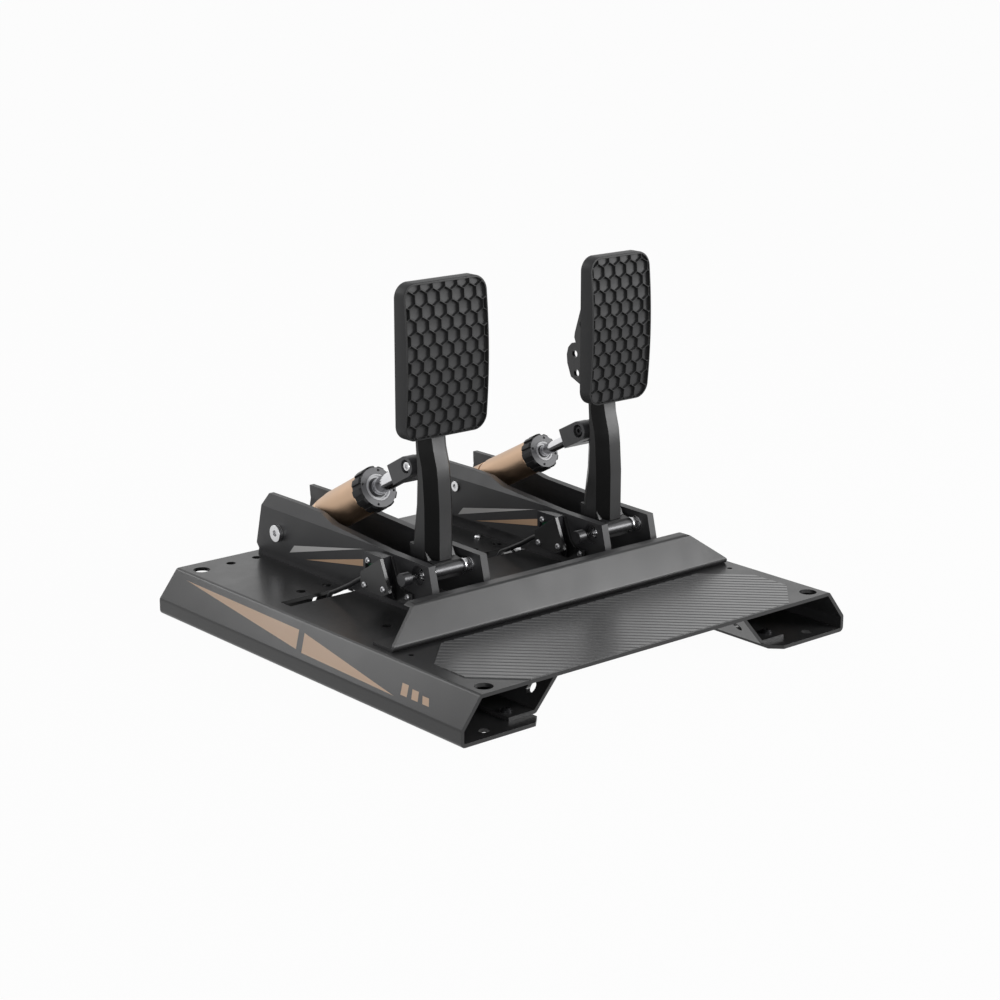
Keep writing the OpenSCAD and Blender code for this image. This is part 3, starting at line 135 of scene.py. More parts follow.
# How far out each ring of a dimple lies, how deep, and how pale its top, upper, lower and bottom corners are. The
# paleness is painted shade: dark on the upper and side walls, where light from above leaves them in shade, pale on the
# floor and lower walls
DIMPLE_PROFILE = (
    (0.50, 0.97, (0.85, 1.0, 1.0, 1.0)), (0.84, 0.88, (0.40, 0.60, 0.95, 1.0)),
    (0.955, 0.03, (0.0, 0.0, 0.35, 1.0)), (1.0, 0.0, (0.8, 0.8, 0.8, 0.8)))
# Cables: thickness, and routes in x, distance back and height, all in millimetres
CABLE_D = 4
CABLE_ROUTES = [
    [(x, back - 200, z) for x, back, z in route] for route in (
        ((-123.2, 203, 60.5), (-123.2, 212, 60.5), (-123.2, 222, 58), (-125.2, 236, 49.5), (-128, 250.5, 41.5),
         (-128.8, 256.4, 38.4), (-129, 259.6, 32.5), (-122, 265, 25), (-100, 270, 20), (-68, 278, 19),
         (-44, 284, 22), (-29, 285.5, 24), (-25, 285.5, 24)),
        ((59.5, 203, 60.5), (59.5, 212, 60.5), (59.5, 222, 58), (58, 236, 49.5), (54, 250.5, 41.5),
         (52, 256.4, 38.4), (50, 259.6, 32.5), (46, 265, 26.5), (44, 272, 24.5), (43.5, 279.3, 24),
         (43.5, 283.3, 24)))]


# Sizes and places taken from the frame

def low_corner(node):
    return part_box(node)[0]


def high_corner(node):
    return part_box(node)[1]


def middle(node):
    low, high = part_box(node)
    return (Vector(low) + Vector(high)) / 2


def damper_line(side):
    """A point on a damper's line and the direction from its clevis to its rear bolt."""
    front, back = middle(side + "_clevis_bolt"), middle(side + "_rear_bolt")
    front.x = back.x = middle(side + "_knob").x
    return front, (back - front).normalized()


# Property groups

class PedalStageSettings(bpy.types.PropertyGroup):
    lens: bpy.props.FloatProperty(name="Lens", description="Focal length of the camera", default=81.007, unit="CAMERA")
    turn: bpy.props.FloatProperty(
        name="Turn", description="How far the camera looks to the right of straight ahead",
        default=0.7015, subtype="ANGLE")
    tilt: bpy.props.FloatProperty(
        name="Tilt", description="How far the camera looks down", default=0.26952, subtype="ANGLE")
    key_power: bpy.props.FloatProperty(
        name="Key light", description="Power of the large soft light in front on the right", default=24.0, min=0.0,
        subtype="POWER")
    rim_power: bpy.props.FloatProperty(
        name="Rim light", description="Power of the light behind on the left", default=6.0, min=0.0, subtype="POWER")
    side_power: bpy.props.FloatProperty(
        name="Side light", description="Power of the low light on the left", default=7.0, min=0.0, subtype="POWER")
    surround: bpy.props.FloatProperty(
        name="Surround", description="Brightness of the surroundings", default=0.20, min=0.0)


class PedalBaseSettings(bpy.types.PropertyGroup):
    edge: bpy.props.FloatProperty(
        name="Edge", description="Rounding of the sheet's cut edges", default=0.0005, unit="LENGTH")
    steel: bpy.props.FloatVectorProperty(
        name="Steel", description="Colour of the powder coat", default=(0.020, 0.020, 0.0205), size=3, subtype="COLOR")
    stripe: bpy.props.FloatVectorProperty(
        name="Stripe", description="Colour of the bronze stripes", default=(0.60, 0.40, 0.26), size=3, subtype="COLOR")
    pale_stripe: bpy.props.FloatVectorProperty(
        name="Pale stripe", description="Colour of the pale stripes", default=(0.62, 0.61, 0.60), size=3,
        subtype="COLOR")
    rib_pitch: bpy.props.FloatProperty(
        name="Rib pitch", description="Distance between the ribs of the heel sheet", default=0.0069, unit="LENGTH")


class PedalPadSettings(bpy.types.PropertyGroup):
    pitch: bpy.props.FloatProperty(
        name="Pitch", description="Distance between the dimples in a row", default=0.012, unit="LENGTH")
    depth: bpy.props.FloatProperty(
        name="Depth", description="Depth of the dimples", default=0.0028, unit="LENGTH")
    shift: bpy.props.FloatProperty(
        name="Shift", description="How far the rows of dimples lie below the pad's centre", default=0.0028,
        unit="LENGTH")
    rim: bpy.props.FloatProperty(
        name="Rim", description="Width of the plain rim around the dimples", default=0.0022, unit="LENGTH")
    rounding: bpy.props.FloatProperty(
        name="Rounding", description="Radius of the rim's outer edge", default=0.0010, unit="LENGTH")
    corner: bpy.props.FloatProperty(
        name="Corner", description="Radius of the pads' corners", default=0.012, unit="LENGTH")
    curve: bpy.props.FloatProperty(
        name="Curve", description="Radius of the pads' curved faces", default=0.465, unit="LENGTH")
    rubber: bpy.props.FloatVectorProperty(
        name="Rubber", description="Colour of the pads", default=(0.046, 0.046, 0.047), size=3, subtype="COLOR")
    # Painted shade: the dark colour of the dimples' upper and side walls, where light from above leaves them in shade
    painted_wall_shade: bpy.props.FloatVectorProperty(
        name="Creases", description="Colour of the dimples' walls", default=(0.006, 0.006, 0.006), size=3,
        subtype="COLOR")


class PedalModuleSettings(bpy.types.PropertyGroup):
    bronze: bpy.props.FloatVectorProperty(
        name="Bronze", description="Colour of the barrels", default=(0.52, 0.36, 0.245), size=3, subtype="COLOR")
    channel: bpy.props.FloatVectorProperty(
        name="Channel", description="Colour of the channels", default=(0.040, 0.040, 0.0415), size=3, subtype="COLOR")
    arm: bpy.props.FloatVectorProperty(
        name="Arm", description="Colour of the arms", default=(0.022, 0.022, 0.0225), size=3, subtype="COLOR")
    # Painted shade: a darker black for the chamfers beside the arms' fronts, which are the same black as the arms
    chamfer: bpy.props.FloatVectorProperty(
        name="Chamfer", description="Colour of the chamfers beside the arms' fronts", default=(0.005, 0.005, 0.005),
        size=3, subtype="COLOR")
    edge: bpy.props.FloatProperty(
        name="Edge", description="Rounding of the machined edges", default=0.0004, unit="LENGTH")


# Node helpers

def new_tree(name):
    m = bpy.data.materials.new(name)
    m.use_nodes = True
    tree = m.node_tree
    tree.nodes.clear()
    out = tree.nodes.new("ShaderNodeOutputMaterial")
    out.location = (900, 0)
    return m, tree, out


def add(tree, kind, at, **values):
    """Adds a node. Each value sets a property, or the input of that name with spaces for its underscores."""
    n = tree.nodes.new(kind)
    n.location = at
    for k, v in values.items():
        if k in n.bl_rna.properties:
            setattr(n, k, v)
        else:
            n.inputs[k.replace("_", " ")].default_value = v
    return n


def link(tree, a, b):
    tree.links.new(a, b)


def maths(tree, operation, a, b=None, at=(0, 0)):
    n = tree.nodes.new("ShaderNodeMath")
    n.operation = operation
    n.location = at
    for socket, value in zip(n.inputs, (a, b)):
        if value is None:
            continue
        if isinstance(value, (int, float)):
            socket.default_value = value
        else:
            tree.links.new(value, socket)
    return n.outputs[0]


def mix_colour(tree, factor, a, b, at):
    n = tree.nodes.new("ShaderNodeMix")
    n.data_type = "RGBA"
    n.location = at
    for socket, value in ((n.inputs["Factor"], factor), (n.inputs["A"], a), (n.inputs["B"], b)):
        if isinstance(value, bpy.types.NodeSocket):
            tree.links.new(value, socket)
        elif isinstance(value, (int, float)):
            socket.default_value = value
        else:
            socket.default_value = (*value[:3], 1.0)
    return n.outputs["Result"]


def place(tree):
    return add(tree, "ShaderNodeTexCoord", (-1500, 0)).outputs["Object"]


def split(tree, vector):
    n = add(tree, "ShaderNodeSeparateXYZ", (-1300, -300))
    link(tree, vector, n.inputs[0])
    return n.outputs


def stretched(tree, vector, scale):
    n = add(tree, "ShaderNodeMapping", (-1300, 0), Scale=scale)
    link(tree, vector, n.inputs["Vector"])
    return n.outputs["Vector"]


def noise(tree, vector, scale, detail, at):
    n = add(tree, "ShaderNodeTexNoise", at, Scale=scale, Detail=detail)
    link(tree, vector, n.inputs["Vector"])
    return n.outputs["Fac"]


def ramp(tree, value, low, high):
    """Spreads the middle of a noise from low to high."""
    n = add(tree, "ShaderNodeMapRange", (-700, 0), From_Min=0.3, From_Max=0.7, To_Min=low, To_Max=high)
    link(tree, value, n.inputs["Value"])
    return n.outputs["Result"]


def bump(tree, height, strength, distance):
    n = add(tree, "ShaderNodeBump", (300, -400), Strength=strength, Distance=distance)
    link(tree, height, n.inputs["Height"])
    return n.outputs["Normal"]


def finish_shader(tree, out, colour, rough, normal, metallic=0.0, specular=0.5, coat=0.0, coat_rough=0.1):
    s = add(
        tree, "ShaderNodeBsdfPrincipled", (600, 0), Metallic=metallic, Specular_IOR_Level=specular,
        Coat_Weight=coat, Coat_Roughness=coat_rough)
    link(tree, colour, s.inputs["Base Color"])
    link(tree, rough, s.inputs["Roughness"])
    link(tree, normal, s.inputs["Normal"])
    link(tree, s.outputs[0], out.inputs["Surface"])


def tinted(tree, base, spread, value, at=(0, 200)):
    """A colour that wanders a little about its base."""
    dark = [c * (1 - spread) for c in base]
    pale = [min(1.0, c * (1 + spread)) for c in base]
    return mix_colour(tree, value, dark, pale, at)


# Finishes

def powder_coat(name, colour, coat=0.4):
    """Sheet steel's coat, with a faint orange peel."""
    m, tree, out = new_tree(name)
    where = place(tree)
    peel = noise(tree, where, 900.0, 3.0, (-1000, -300))
    cloud = noise(tree, where, 35.0, 4.0, (-1000, 100))
    finish_shader(
        tree, out, tinted(tree, colour, 0.10, cloud), ramp(tree, cloud, 0.36, 0.46),
        bump(tree, peel, 0.06, 0.0002), specular=0.25, coat=coat, coat_rough=0.22)
    return m


def anodised(name, colour, rough, metallic, grain=0.06, specular=0.5):
    """Machined metal with a fine satin surface."""
    m, tree, out = new_tree(name)
    where = place(tree)
    fine = noise(tree, where, 2600.0, 2.0, (-1000, -300))
    cloud = noise(tree, where, 60.0, 4.0, (-1000, 100))
    finish_shader(
        tree, out, tinted(tree, colour, 0.08, cloud), ramp(tree, cloud, *rough),
        bump(tree, fine, grain, 0.0001), metallic=metallic, specular=specular)
    return m


def turned_metal(name, colour, along, rough):
    """Metal with faint turning lines across the direction along, which is 0, 1 or 2 for x, y or z."""
    m, tree, out = new_tree(name)
    where = place(tree)
    scale = [40.0, 40.0, 40.0]
    scale[along] = 2600.0
    lines = noise(tree, stretched(tree, where, scale), 1.0, 3.0, (-1000, -300))
    cloud = noise(tree, where, 120.0, 3.0, (-1000, 100))
    finish_shader(
        tree, out, tinted(tree, colour, 0.06, cloud), ramp(tree, lines, *rough),
        bump(tree, lines, 0.05, 0.00005), metallic=1.0)
    return m


def moulded(name, colour, rough, grain, size=1500.0, specular=0.3, coat=0.0):
    """Plastic or rubber with the grain of its mould."""
    m, tree, out = new_tree(name)
    where = place(tree)
    fine = noise(tree, where, size, 4.0, (-1000, -300))
    cloud = noise(tree, where, 50.0, 3.0, (-1000, 100))
    finish_shader(
        tree, out, tinted(tree, colour, 0.12, cloud), ramp(tree, fine, *rough),
        bump(tree, fine, grain, 0.0002), specular=specular, coat=coat, coat_rough=0.25)
    return m


def dimpled(name, dark, pale, rough, grain, specular):
    """Rubber with painted shade: paler where the attribute painted_lit_share is 1, on the floors and lower walls of
    the dimples, and darker where it is 0, on the upper and side walls that stand in shade.
    """
    m, tree, out = new_tree(name)
    where = place(tree)
    fine = noise(tree, where, 1800.0, 4.0, (-1000, -300))
    cloud = noise(tree, where, 50.0, 3.0, (-1000, 100))
    painted_lit_share = add(tree, "ShaderNodeAttribute", (-1000, 400), attribute_name="painted_lit_share")
    colour = mix_colour(
        tree, painted_lit_share.outputs["Fac"], tinted(tree, dark, 0.1, cloud, (-200, 400)),
        tinted(tree, pale, 0.1, cloud, (-200, 150)), (200, 300))
    finish_shader(
        tree, out, colour, ramp(tree, fine, *rough), bump(tree, fine, grain, 0.0002), specular=specular)
    return m


def ringed(name, side, edge, inside, outside):
    """Anodised metal of one shade up to a distance from the damper's line and of another beyond it."""
    m, tree, out = new_tree(name)
    where = place(tree)
    front, along = damper_line(side)
    offset = add(tree, "ShaderNodeVectorMath", (-1300, 300), operation="SUBTRACT")
    link(tree, where, offset.inputs[0])
    offset.inputs[1].default_value = front
    across = add(tree, "ShaderNodeVectorMath", (-1100, 300), operation="CROSS_PRODUCT")
    link(tree, offset.outputs[0], across.inputs[0])
    across.inputs[1].default_value = along
    reach = add(tree, "ShaderNodeVectorMath", (-900, 300), operation="LENGTH")
    link(tree, across.outputs[0], reach.inputs[0])
    beyond = sharp_step(tree, maths(tree, "SUBTRACT", reach.outputs["Value"], edge, (-700, 300)), (-500, 300))
    fine = noise(tree, where, 2600.0, 2.0, (-1000, -300))
    cloud = noise(tree, where, 60.0, 4.0, (-1000, 100))
    colour = mix_colour(
        tree, beyond, tinted(tree, inside, 0.08, cloud, (-200, 400)), tinted(tree, outside, 0.08, cloud, (-200, 150)),
        (200, 300))
    finish_shader(
        tree, out, colour, ramp(tree, cloud, 0.36, 0.46), bump(tree, fine, 0.05, 0.0001), specular=0.2)
    return m


FINISHES = {}


def make_finishes():
    """Fills FINISHES with one material for each finish of the set."""
    base = bpy.context.scene.pedal_base
    module = bpy.context.scene.pedal_module
    pad = bpy.context.scene.pedal_pads
    FINISHES.update({
        "steel": powder_coat("black_powder_coat", base.steel),
        "bar": powder_coat("heel_bar_powder_coat", base.steel, coat=0.15),
        "striped_steel": striped_steel("striped_powder_coat", base.steel, base.stripe),
        "arm": anodised("black_arm_finish", module.arm, (0.32, 0.42), 0.0, specular=0.3),
        # Painted shade: the arms' chamfers get a darker black with little shine
        "chamfer_painted_shade": anodised("arm_front_painted_shade", module.chamfer, (0.36, 0.46), 0.0, specular=0.06),
        "dark": anodised("dark_anodised", (0.035, 0.035, 0.037), (0.28, 0.38), 0.5),
        "clevis": anodised("clevis_anodised", (0.065, 0.065, 0.068), (0.34, 0.44), 0.3),
        "bronze": anodised("bronze_anodised", module.bronze, (0.36, 0.46), 1.0, 0.03),
        "bright": turned_metal("bright_zinc", (0.62, 0.62, 0.63), 0, (0.2, 0.32)),
        "polished": turned_metal("polished_rod", (0.72, 0.72, 0.74), 1, (0.08, 0.16)),
        "bolt": anodised("black_oxide", (0.022, 0.022, 0.024), (0.3, 0.42), 0.7),
        "satin": anodised("satin_grey", (0.34, 0.34, 0.35), (0.36, 0.48), 0.9, 0.03),
        "sleeve": anodised("dark_satin", (0.10, 0.10, 0.103), (0.36, 0.46), 0.8, 0.03),
        "plastic": moulded("housing_plastic", (0.020, 0.020, 0.022), (0.32, 0.46), 0.06),
        # The pads' rubber, with painted shade on the dimples' walls
        "pad": dimpled("pad_rubber", pad.painted_wall_shade, pad.rubber, (0.38, 0.48), 0.08, 0.16),
        "heel": moulded("heel_rubber", (0.060, 0.060, 0.061), (0.32, 0.42), 0.06, 1300.0, 0.5, 0.7),
        "cable": moulded("cable_jacket", (0.016, 0.016, 0.017), (0.42, 0.55), 0.05),
        "board": moulded("circuit_board", (0.02, 0.10, 0.05), (0.25, 0.35), 0.02),
        "elastomer": moulded("elastomer", (0.06, 0.05, 0.045), (0.5, 0.6), 0.1),
    })
    for side in PEDALS:
        channel = side + "_channel"
        FINISHES[channel] = striped_channel(
            channel + "_finish", channel, module.channel, base.stripe, base.pale_stripe)
        FINISHES[side + "_knob"] = ringed(
            side + "_knob_finish", side, KNOB_RINGS[side], (0.17, 0.17, 0.175), (0.016, 0.016, 0.017))
        # Painted shade: the recess inside a gland's lip is dark, though it is the same bright metal as the lip
        FINISHES[side + "_gland"] = ringed(
            side + "_gland_recess_shade", side, GLAND_RINGS[side], (0.05, 0.05, 0.052), (0.50, 0.50, 0.51))


def sharp_step(tree, value, at=(0, 0)):
    """0 below zero and 1 above it, with a ramp of 0.2 mm."""
    n = add(tree, "ShaderNodeMapRange", at, From_Min=-0.0001, From_Max=0.0001)
    link(tree, value, n.inputs["Value"])
    return n.outputs["Result"]


def inside_shape(tree, u, v, points, at=(0, 0)):
    """1 inside a convex outline given counterclockwise in u and v."""
    result = None
    for i, (x1, y1) in enumerate(points):
        x0, y0 = points[i - 1]
        length = math.hypot(x1 - x0, y1 - y0)
        a, b = -(y1 - y0) / length, (x1 - x0) / length
        x, y = at[0], at[1] - 60 * i
        along_u = maths(tree, "MULTIPLY", u, a, (x, y))
        along_v = maths(tree, "MULTIPLY", v, b, (x, y - 30))
        left = maths(tree, "ADD", along_u, -(a * x0 + b * y0), (x + 80, y))
        left = maths(tree, "ADD", left, along_v, (x + 150, y))
        edge = sharp_step(tree, left, (x + 300, y))
        result = edge if result is None else maths(tree, "MINIMUM", result, edge, (x + 450, y))
    return result


def union_of(tree, masks):
    """1 where any of the masks is 1."""
    result = masks[0]
    for other in masks[1:]:
        result = maths(tree, "MAXIMUM", result, other)
    return result


def painted(name, colour, layers, on_face, rough, grain, specular, coat=0.0, ends=None):
    """A coat with painted shapes. Each layer is a colour with convex outlines in y and z, on the faces of on_face.

    What lies in front of ends, a place in y with a colour, has that colour.
    """
    m, tree, out = new_tree(name)
    where = place(tree)
    x, y, z = split(tree, where)
    cloud = noise(tree, where, 40.0, 4.0, (-1000, 100))
    paint = tinted(tree, colour, 0.10, cloud)
    face = on_face(tree, x)
    for i, (shade, outlines) in enumerate(layers):
        row = -800 - 1600 * i
        shapes = union_of(tree, [
            inside_shape(tree, y, z, outline, (-700, row - 300 * k)) for k, outline in enumerate(outlines)])
        mask = maths(tree, "MULTIPLY", shapes, face, (0, row))
        paint = mix_colour(tree, mask, paint, shade, (200 + 150 * i, 300))
    if ends:
        ahead = maths(tree, "SUBTRACT", ends[0], y, (0, 500))
        paint = mix_colour(tree, sharp_step(tree, ahead, (200, 500)), paint, ends[1], (500, 400))
    fine = noise(tree, where, 1100.0, 3.0, (-1000, -300))
    finish_shader(
        tree, out, paint, ramp(tree, cloud, *rough), bump(tree, fine, grain, 0.0002), specular=specular,
        coat=coat, coat_rough=0.22)
    return m


def striped_steel(name, colour, stripe):
    """Powder coat with a split bronze spear and three slanted bars along both side slopes."""
    side = high_corner("base_plate")[0]

    def on_slope(tree, x):
        across = maths(tree, "ABSOLUTE", x, None, (-1100, -500))
        inner = maths(tree, "SUBTRACT", across, side - SLOPE_WIDTH, (-1000, -500))
        outer = maths(tree, "SUBTRACT", side - FACE_PLAY, across, (-1000, -600))
        return maths(
            tree, "MULTIPLY", sharp_step(tree, inner, (-900, -500)), sharp_step(tree, outer, (-900, -700)),
            (-700, -500))
    return painted(
        name, colour, [(stripe, SPEAR + BARS)], on_slope, (0.34, 0.44), 0.06, specular=0.2, coat=0.4)


def striped_channel(name, node, colour, bronze, pale):
    """Black walls with a pale and a bronze tapered stripe outside."""
    centre = middle(node).x
    half = high_corner(node)[0] - centre

    def on_outside(tree, x):
        off = maths(tree, "SUBTRACT", x, centre, (-1200, -500))
        off = maths(tree, "ABSOLUTE", off, None, (-1100, -500))
        return sharp_step(tree, maths(tree, "SUBTRACT", off, half - 0.001, (-1000, -500)), (-900, -500))
    cut_ends = (low_corner(node)[1] + 0.0003, (0.16, 0.16, 0.16))
    return painted(
        name, colour, [(pale, PALE_WEDGE), (bronze, BRONZE_WEDGE)], on_outside, (0.36, 0.46), 0.05,
        specular=0.3, ends=cut_ends)


# Mesh helpers

def new_object(name, mesh):
    o = bpy.data.objects.new(name, mesh)
    bpy.context.scene.collection.objects.link(o)
    return o


def smooth_by_angle(mesh, degrees=SHARP_ANGLE):
    mesh.polygons.foreach_set("use_smooth", [True] * len(mesh.polygons))
    mesh.set_sharp_from_angle(angle=math.radians(degrees))


def body_of(node):
    return frame["nodes"][node]["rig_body"]


def dress(piece, node, finish):
    """Gives a piece its finish and its body, and hides the node that it stands for."""
    piece.data.materials.clear()
    piece.data.materials.append(FINISHES[finish])
    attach(piece, body_of(node))
    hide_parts(node)


def refined(node, finish, edge=FINE_EDGE, chamfers=None):
    """A clean copy of a node with rounded edges. The long chamfers beside its front may get a second material that
    paints shade on them.
    """
    bm = bmesh.new()
    bm.from_mesh(frame["nodes"][node].data)
    bmesh.ops.remove_doubles(bm, verts=bm.verts, dist=MERGE)
    bmesh.ops.dissolve_limit(
        bm, angle_limit=math.radians(FLAT_ANGLE), use_dissolve_boundaries=False, verts=bm.verts, edges=bm.edges)
    mesh = bpy.data.meshes.new(node + "_detail")
    bm.to_mesh(mesh)
    bm.free()
    smooth_by_angle(mesh)
    piece = new_object(node + "_detail", mesh)
    if edge > 0:
        bevel = piece.modifiers.new("edges", "BEVEL")
        bevel.width = edge
        bevel.segments = 2
        bevel.limit_method = "ANGLE"
        bevel.angle_limit = math.radians(SHARP_ANGLE)
        bevel.use_clamp_overlap = True
        bevel.miter_outer = "MITER_ARC"
        bevel.harden_normals = True
    normals = piece.modifiers.new("flat_faces", "WEIGHTED_NORMAL")
    normals.keep_sharp = True
    dress(piece, node, finish)
    if chamfers:
        # Painted shade: the faces that turn to the front and aside take the chamfers' darker material
        mesh.materials.append(FINISHES[chamfers])
        for face in mesh.polygons:
            face.material_index = int(face.normal.y < -0.3 and abs(face.normal.x) > 0.3)
    return piece


def pressed(piece, side):
    """Gives a piece inside a damper its own copy of its mesh."""
    front, along = damper_line(side)
    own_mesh(piece)


def plain(node, finish):
    """Keeps a node's own mesh and gives it a finish."""
    o = frame["nodes"][node]
    o.data.materials.clear()
    o.data.materials.append(FINISHES[finish])
    for slot in o.material_slots:
        slot.material = FINISHES[finish]


# Operators

class PEDALS_OT_stage(bpy.types.Operator):
    """Sets up the floor, the lights and the camera"""
    bl_idname = "pedals.stage"
    bl_label = "Stage"

    def execute(self, context):
        stage = context.scene.pedal_stage
        context.scene.view_settings.view_transform = "Standard"
        self.world(context, stage)
        self.floor()
        for lamp, power in zip(LAMPS, (stage.key_power, stage.rim_power, stage.side_power)):
            self.area(*lamp, power)
        camera = bpy.data.objects.new("camera", bpy.data.cameras.new("camera"))
        context.scene.collection.objects.link(camera)
        camera.data.sensor_width = SENSOR_WIDTH
        camera.data.lens = stage.lens
        camera.location = CAMERA_AT
        camera.rotation_euler = (math.pi / 2 - stage.tilt, 0, -stage.turn)
        context.scene.camera = camera
        return {"FINISHED"}

    def world(self, context, stage):
        w = bpy.data.worlds.new("surroundings")
        context.scene.world = w
        w.use_nodes = True
        tree = w.node_tree
        tree.nodes.clear()
        out = add(tree, "ShaderNodeOutputWorld", (600, 0))
        lit = add(tree, "ShaderNodeBackground", (0, 0), Color=(0.95, 0.97, 1.0, 1.0), Strength=stage.surround)
        seen = add(tree, "ShaderNodeBackground", (0, -200), Color=WHITE)
        self.mixed(tree, self.looked_at(tree), lit, seen, out)

    def mixed(self, tree, share, lit, seen, out):
        """Shows lit to the lamps' light and seen to the eye, by share."""
        mix = add(tree, "ShaderNodeMixShader", (300, 0))
        for i, socket in enumerate((share, lit.outputs[0], seen.outputs[0])):
            link(tree, socket, mix.inputs[i])
        link(tree, mix.outputs[0], out.inputs["Surface"])

    def looked_at(self, tree):
        """1 for what the camera sees directly, in a mirror or through glass."""
        rays = add(tree, "ShaderNodeLightPath", (-700, 200))
        seen = maths(tree, "MAXIMUM", rays.outputs["Is Camera Ray"], rays.outputs["Is Glossy Ray"], (-500, 200))
        return maths(tree, "MAXIMUM", seen, rays.outputs["Is Transmission Ray"], (-350, 200))

    def floor(self):
        mesh = bpy.data.meshes.new("floor")
        s = FLOOR_REACH
        mesh.from_pydata([(-s, -s, 0), (s, -s, 0), (s, s, 0), (-s, s, 0)], [], [(0, 1, 2, 3)])
        floor = new_object("floor", mesh)
        floor.location = (0, 0, -FLOOR_DROP)
        m, tree, out = new_tree("pale_floor")
        grey = add(tree, "ShaderNodeBsdfDiffuse", (0, 0), Color=FLOOR_GREY)
        glow = add(tree, "ShaderNodeEmission", (0, -200), Color=WHITE)
        share = maths(tree, "MULTIPLY", self.looked_at(tree), FLOOR_SHARE, (-200, 200))
        self.mixed(tree, share, grey, glow, out)
        mesh.materials.append(m)

    def area(self, name, at, towards, size, power):
        lamp = bpy.data.objects.new(name, bpy.data.lights.new(name, "AREA"))
        bpy.context.scene.collection.objects.link(lamp)
        lamp.data.size = size
        lamp.data.energy = power
        lamp.location = at
        lamp.rotation_euler = (Vector(towards) - Vector(at)).to_track_quat("-Z", "Y").to_euler()


class PEDALS_OT_base(bpy.types.Operator):
    """Dresses the base plate, its stiffeners and the heel stop bar"""
    bl_idname = "pedals.base"
    bl_label = "Base"

    def execute(self, context):
        edge = context.scene.pedal_base.edge
        refined("base_plate", "striped_steel", edge)
        refined("stiffeners", "steel", edge)
        refined("heel_stop_bar", "bar", edge)
        refined("base_screws", "bolt")
        return {"FINISHED"}


class PEDALS_OT_heel_sheet(bpy.types.Operator):
    """Makes the ribbed heel sheet"""
    bl_idname = "pedals.heel_sheet"
    bl_label = "Heel sheet"

    def execute(self, context):
        pitch = context.scene.pedal_base.rib_pitch
        source = frame["nodes"]["heel_sheet"].data
        low, high = Vector(low_corner("heel_sheet")), Vector(high_corner("heel_sheet"))
        reach = (high - low).length / 2
        count = 2 * math.ceil(reach / pitch) + 1
        mesh = baked_nodes(rib_strip(pitch, 2 * reach), repeat_tree("rib_repeat"), {
            "Columns": count, "Rows": 1, "Pitch": pitch, "Row height": 0.0, "Stagger": 0.0,
            "Material": FINISHES["heel"]}, "heel_sheet_detail")
        bm = bmesh.new()
        bm.from_mesh(mesh)
        bmesh.ops.remove_doubles(bm, verts=bm.verts, dist=MERGE)
        centre = (low + high) / 2
        across, along = Vector((1, 1, 0)).normalized(), Vector((1, -1, 0)).normalized()
        for v in bm.verts:
            v.co = Vector((centre.x, centre.y, high.z)) + across * v.co.x + along * v.co.z + Vector((0, 0, v.co.y))
        outline = plan_outline(source, high.z)
        for i, a in enumerate(outline):
            b = outline[(i + 1) % len(outline)]
            cut_away(bm, a, Vector((b.y - a.y, a.x - b.x, 0)).normalized())
        border = [e for e in bm.edges if e.is_boundary]
        made = bmesh.ops.extrude_edge_only(bm, edges=border)["geom"]
        for v in [g for g in made if isinstance(g, bmesh.types.BMVert)]:
            v.co.z = low.z
        bmesh.ops.contextual_create(bm, geom=[g for g in made if isinstance(g, bmesh.types.BMEdge)])
        bmesh.ops.recalc_face_normals(bm, faces=bm.faces)
        bm.to_mesh(mesh)
        bm.free()
        smooth_by_angle(mesh, RIB_SHARP_ANGLE)
        dress(new_object("heel_sheet_detail", mesh), "heel_sheet", "heel")
        return {"FINISHED"}


def rib_strip(pitch, length):
    """One rib of the sheet with half a groove on each side, running along z."""
    verts = [(x * pitch, y * RIB_HEIGHT, z) for z in (-length / 2, length / 2) for x, y in RIB_PROFILE]
    n = len(RIB_PROFILE)
    mesh = bpy.data.meshes.new("rib")
    mesh.from_pydata(verts, [], [(i, i + 1, i + 1 + n, i + n) for i in range(n - 1)])
    return mesh


def plan_outline(mesh, level):
    """The corners of a flat sheet seen from above, counterclockwise."""
    points = sorted({(round(v.co.x, 6), round(v.co.y, 6)) for v in mesh.vertices if abs(v.co.z - level) < 1e-5})

    def half(run):
        chain = []
        for p in run:
            while len(chain) > 1 and (
                    (chain[-1][0] - chain[-2][0]) * (p[1] - chain[-2][1])
                    - (chain[-1][1] - chain[-2][1]) * (p[0] - chain[-2][0])) <= 1e-12:
                chain.pop()
            chain.append(p)
        return chain[:-1]
    return [Vector((x, y, level)) for x, y in half(points) + half(points[::-1])]


class PEDALS_OT_modules(bpy.types.Operator):
    """Dresses the channels, their fasteners and the pivots"""
    bl_idname = "pedals.modules"
    bl_label = "Modules"

    def execute(self, context):
        edge = context.scene.pedal_module.edge
        refined("channel_screws", "bolt")
        refined("channel_nuts", "bright")
        refined("pivot_bushes", "bright")
        refined("rear_nuts", "bright", SMALL_EDGE)
        refined("rear_spacers", "bright")
        for side in PEDALS:
            refined(side + "_channel", side + "_channel", edge)
            refined(side + "_rear_bolt", "bright", SMALL_EDGE)
            refined(side + "_axle", "bright")
            refined(side + "_sleeve", "sleeve")
            refined(side + "_locknut", "bright", SMALL_EDGE)
            refined(side + "_magnet_cap", "dark", edge)
        return {"FINISHED"}


class PEDALS_OT_arms(bpy.types.Operator):
    """Dresses the arms and the pad brackets"""
    bl_idname = "pedals.arms"
    bl_label = "Arms"

    def execute(self, context):
        edge = context.scene.pedal_module.edge
        for side in PEDALS:
            # The arms' chamfers get painted shade
            refined(side + "_arm", "arm", edge, chamfers="chamfer_painted_shade")
            refined(side + "_bracket", "steel", edge)
            refined(side + "_bracket_bolts", "bolt")
            refined(side + "_pad_screws", "bolt")
        return {"FINISHED"}


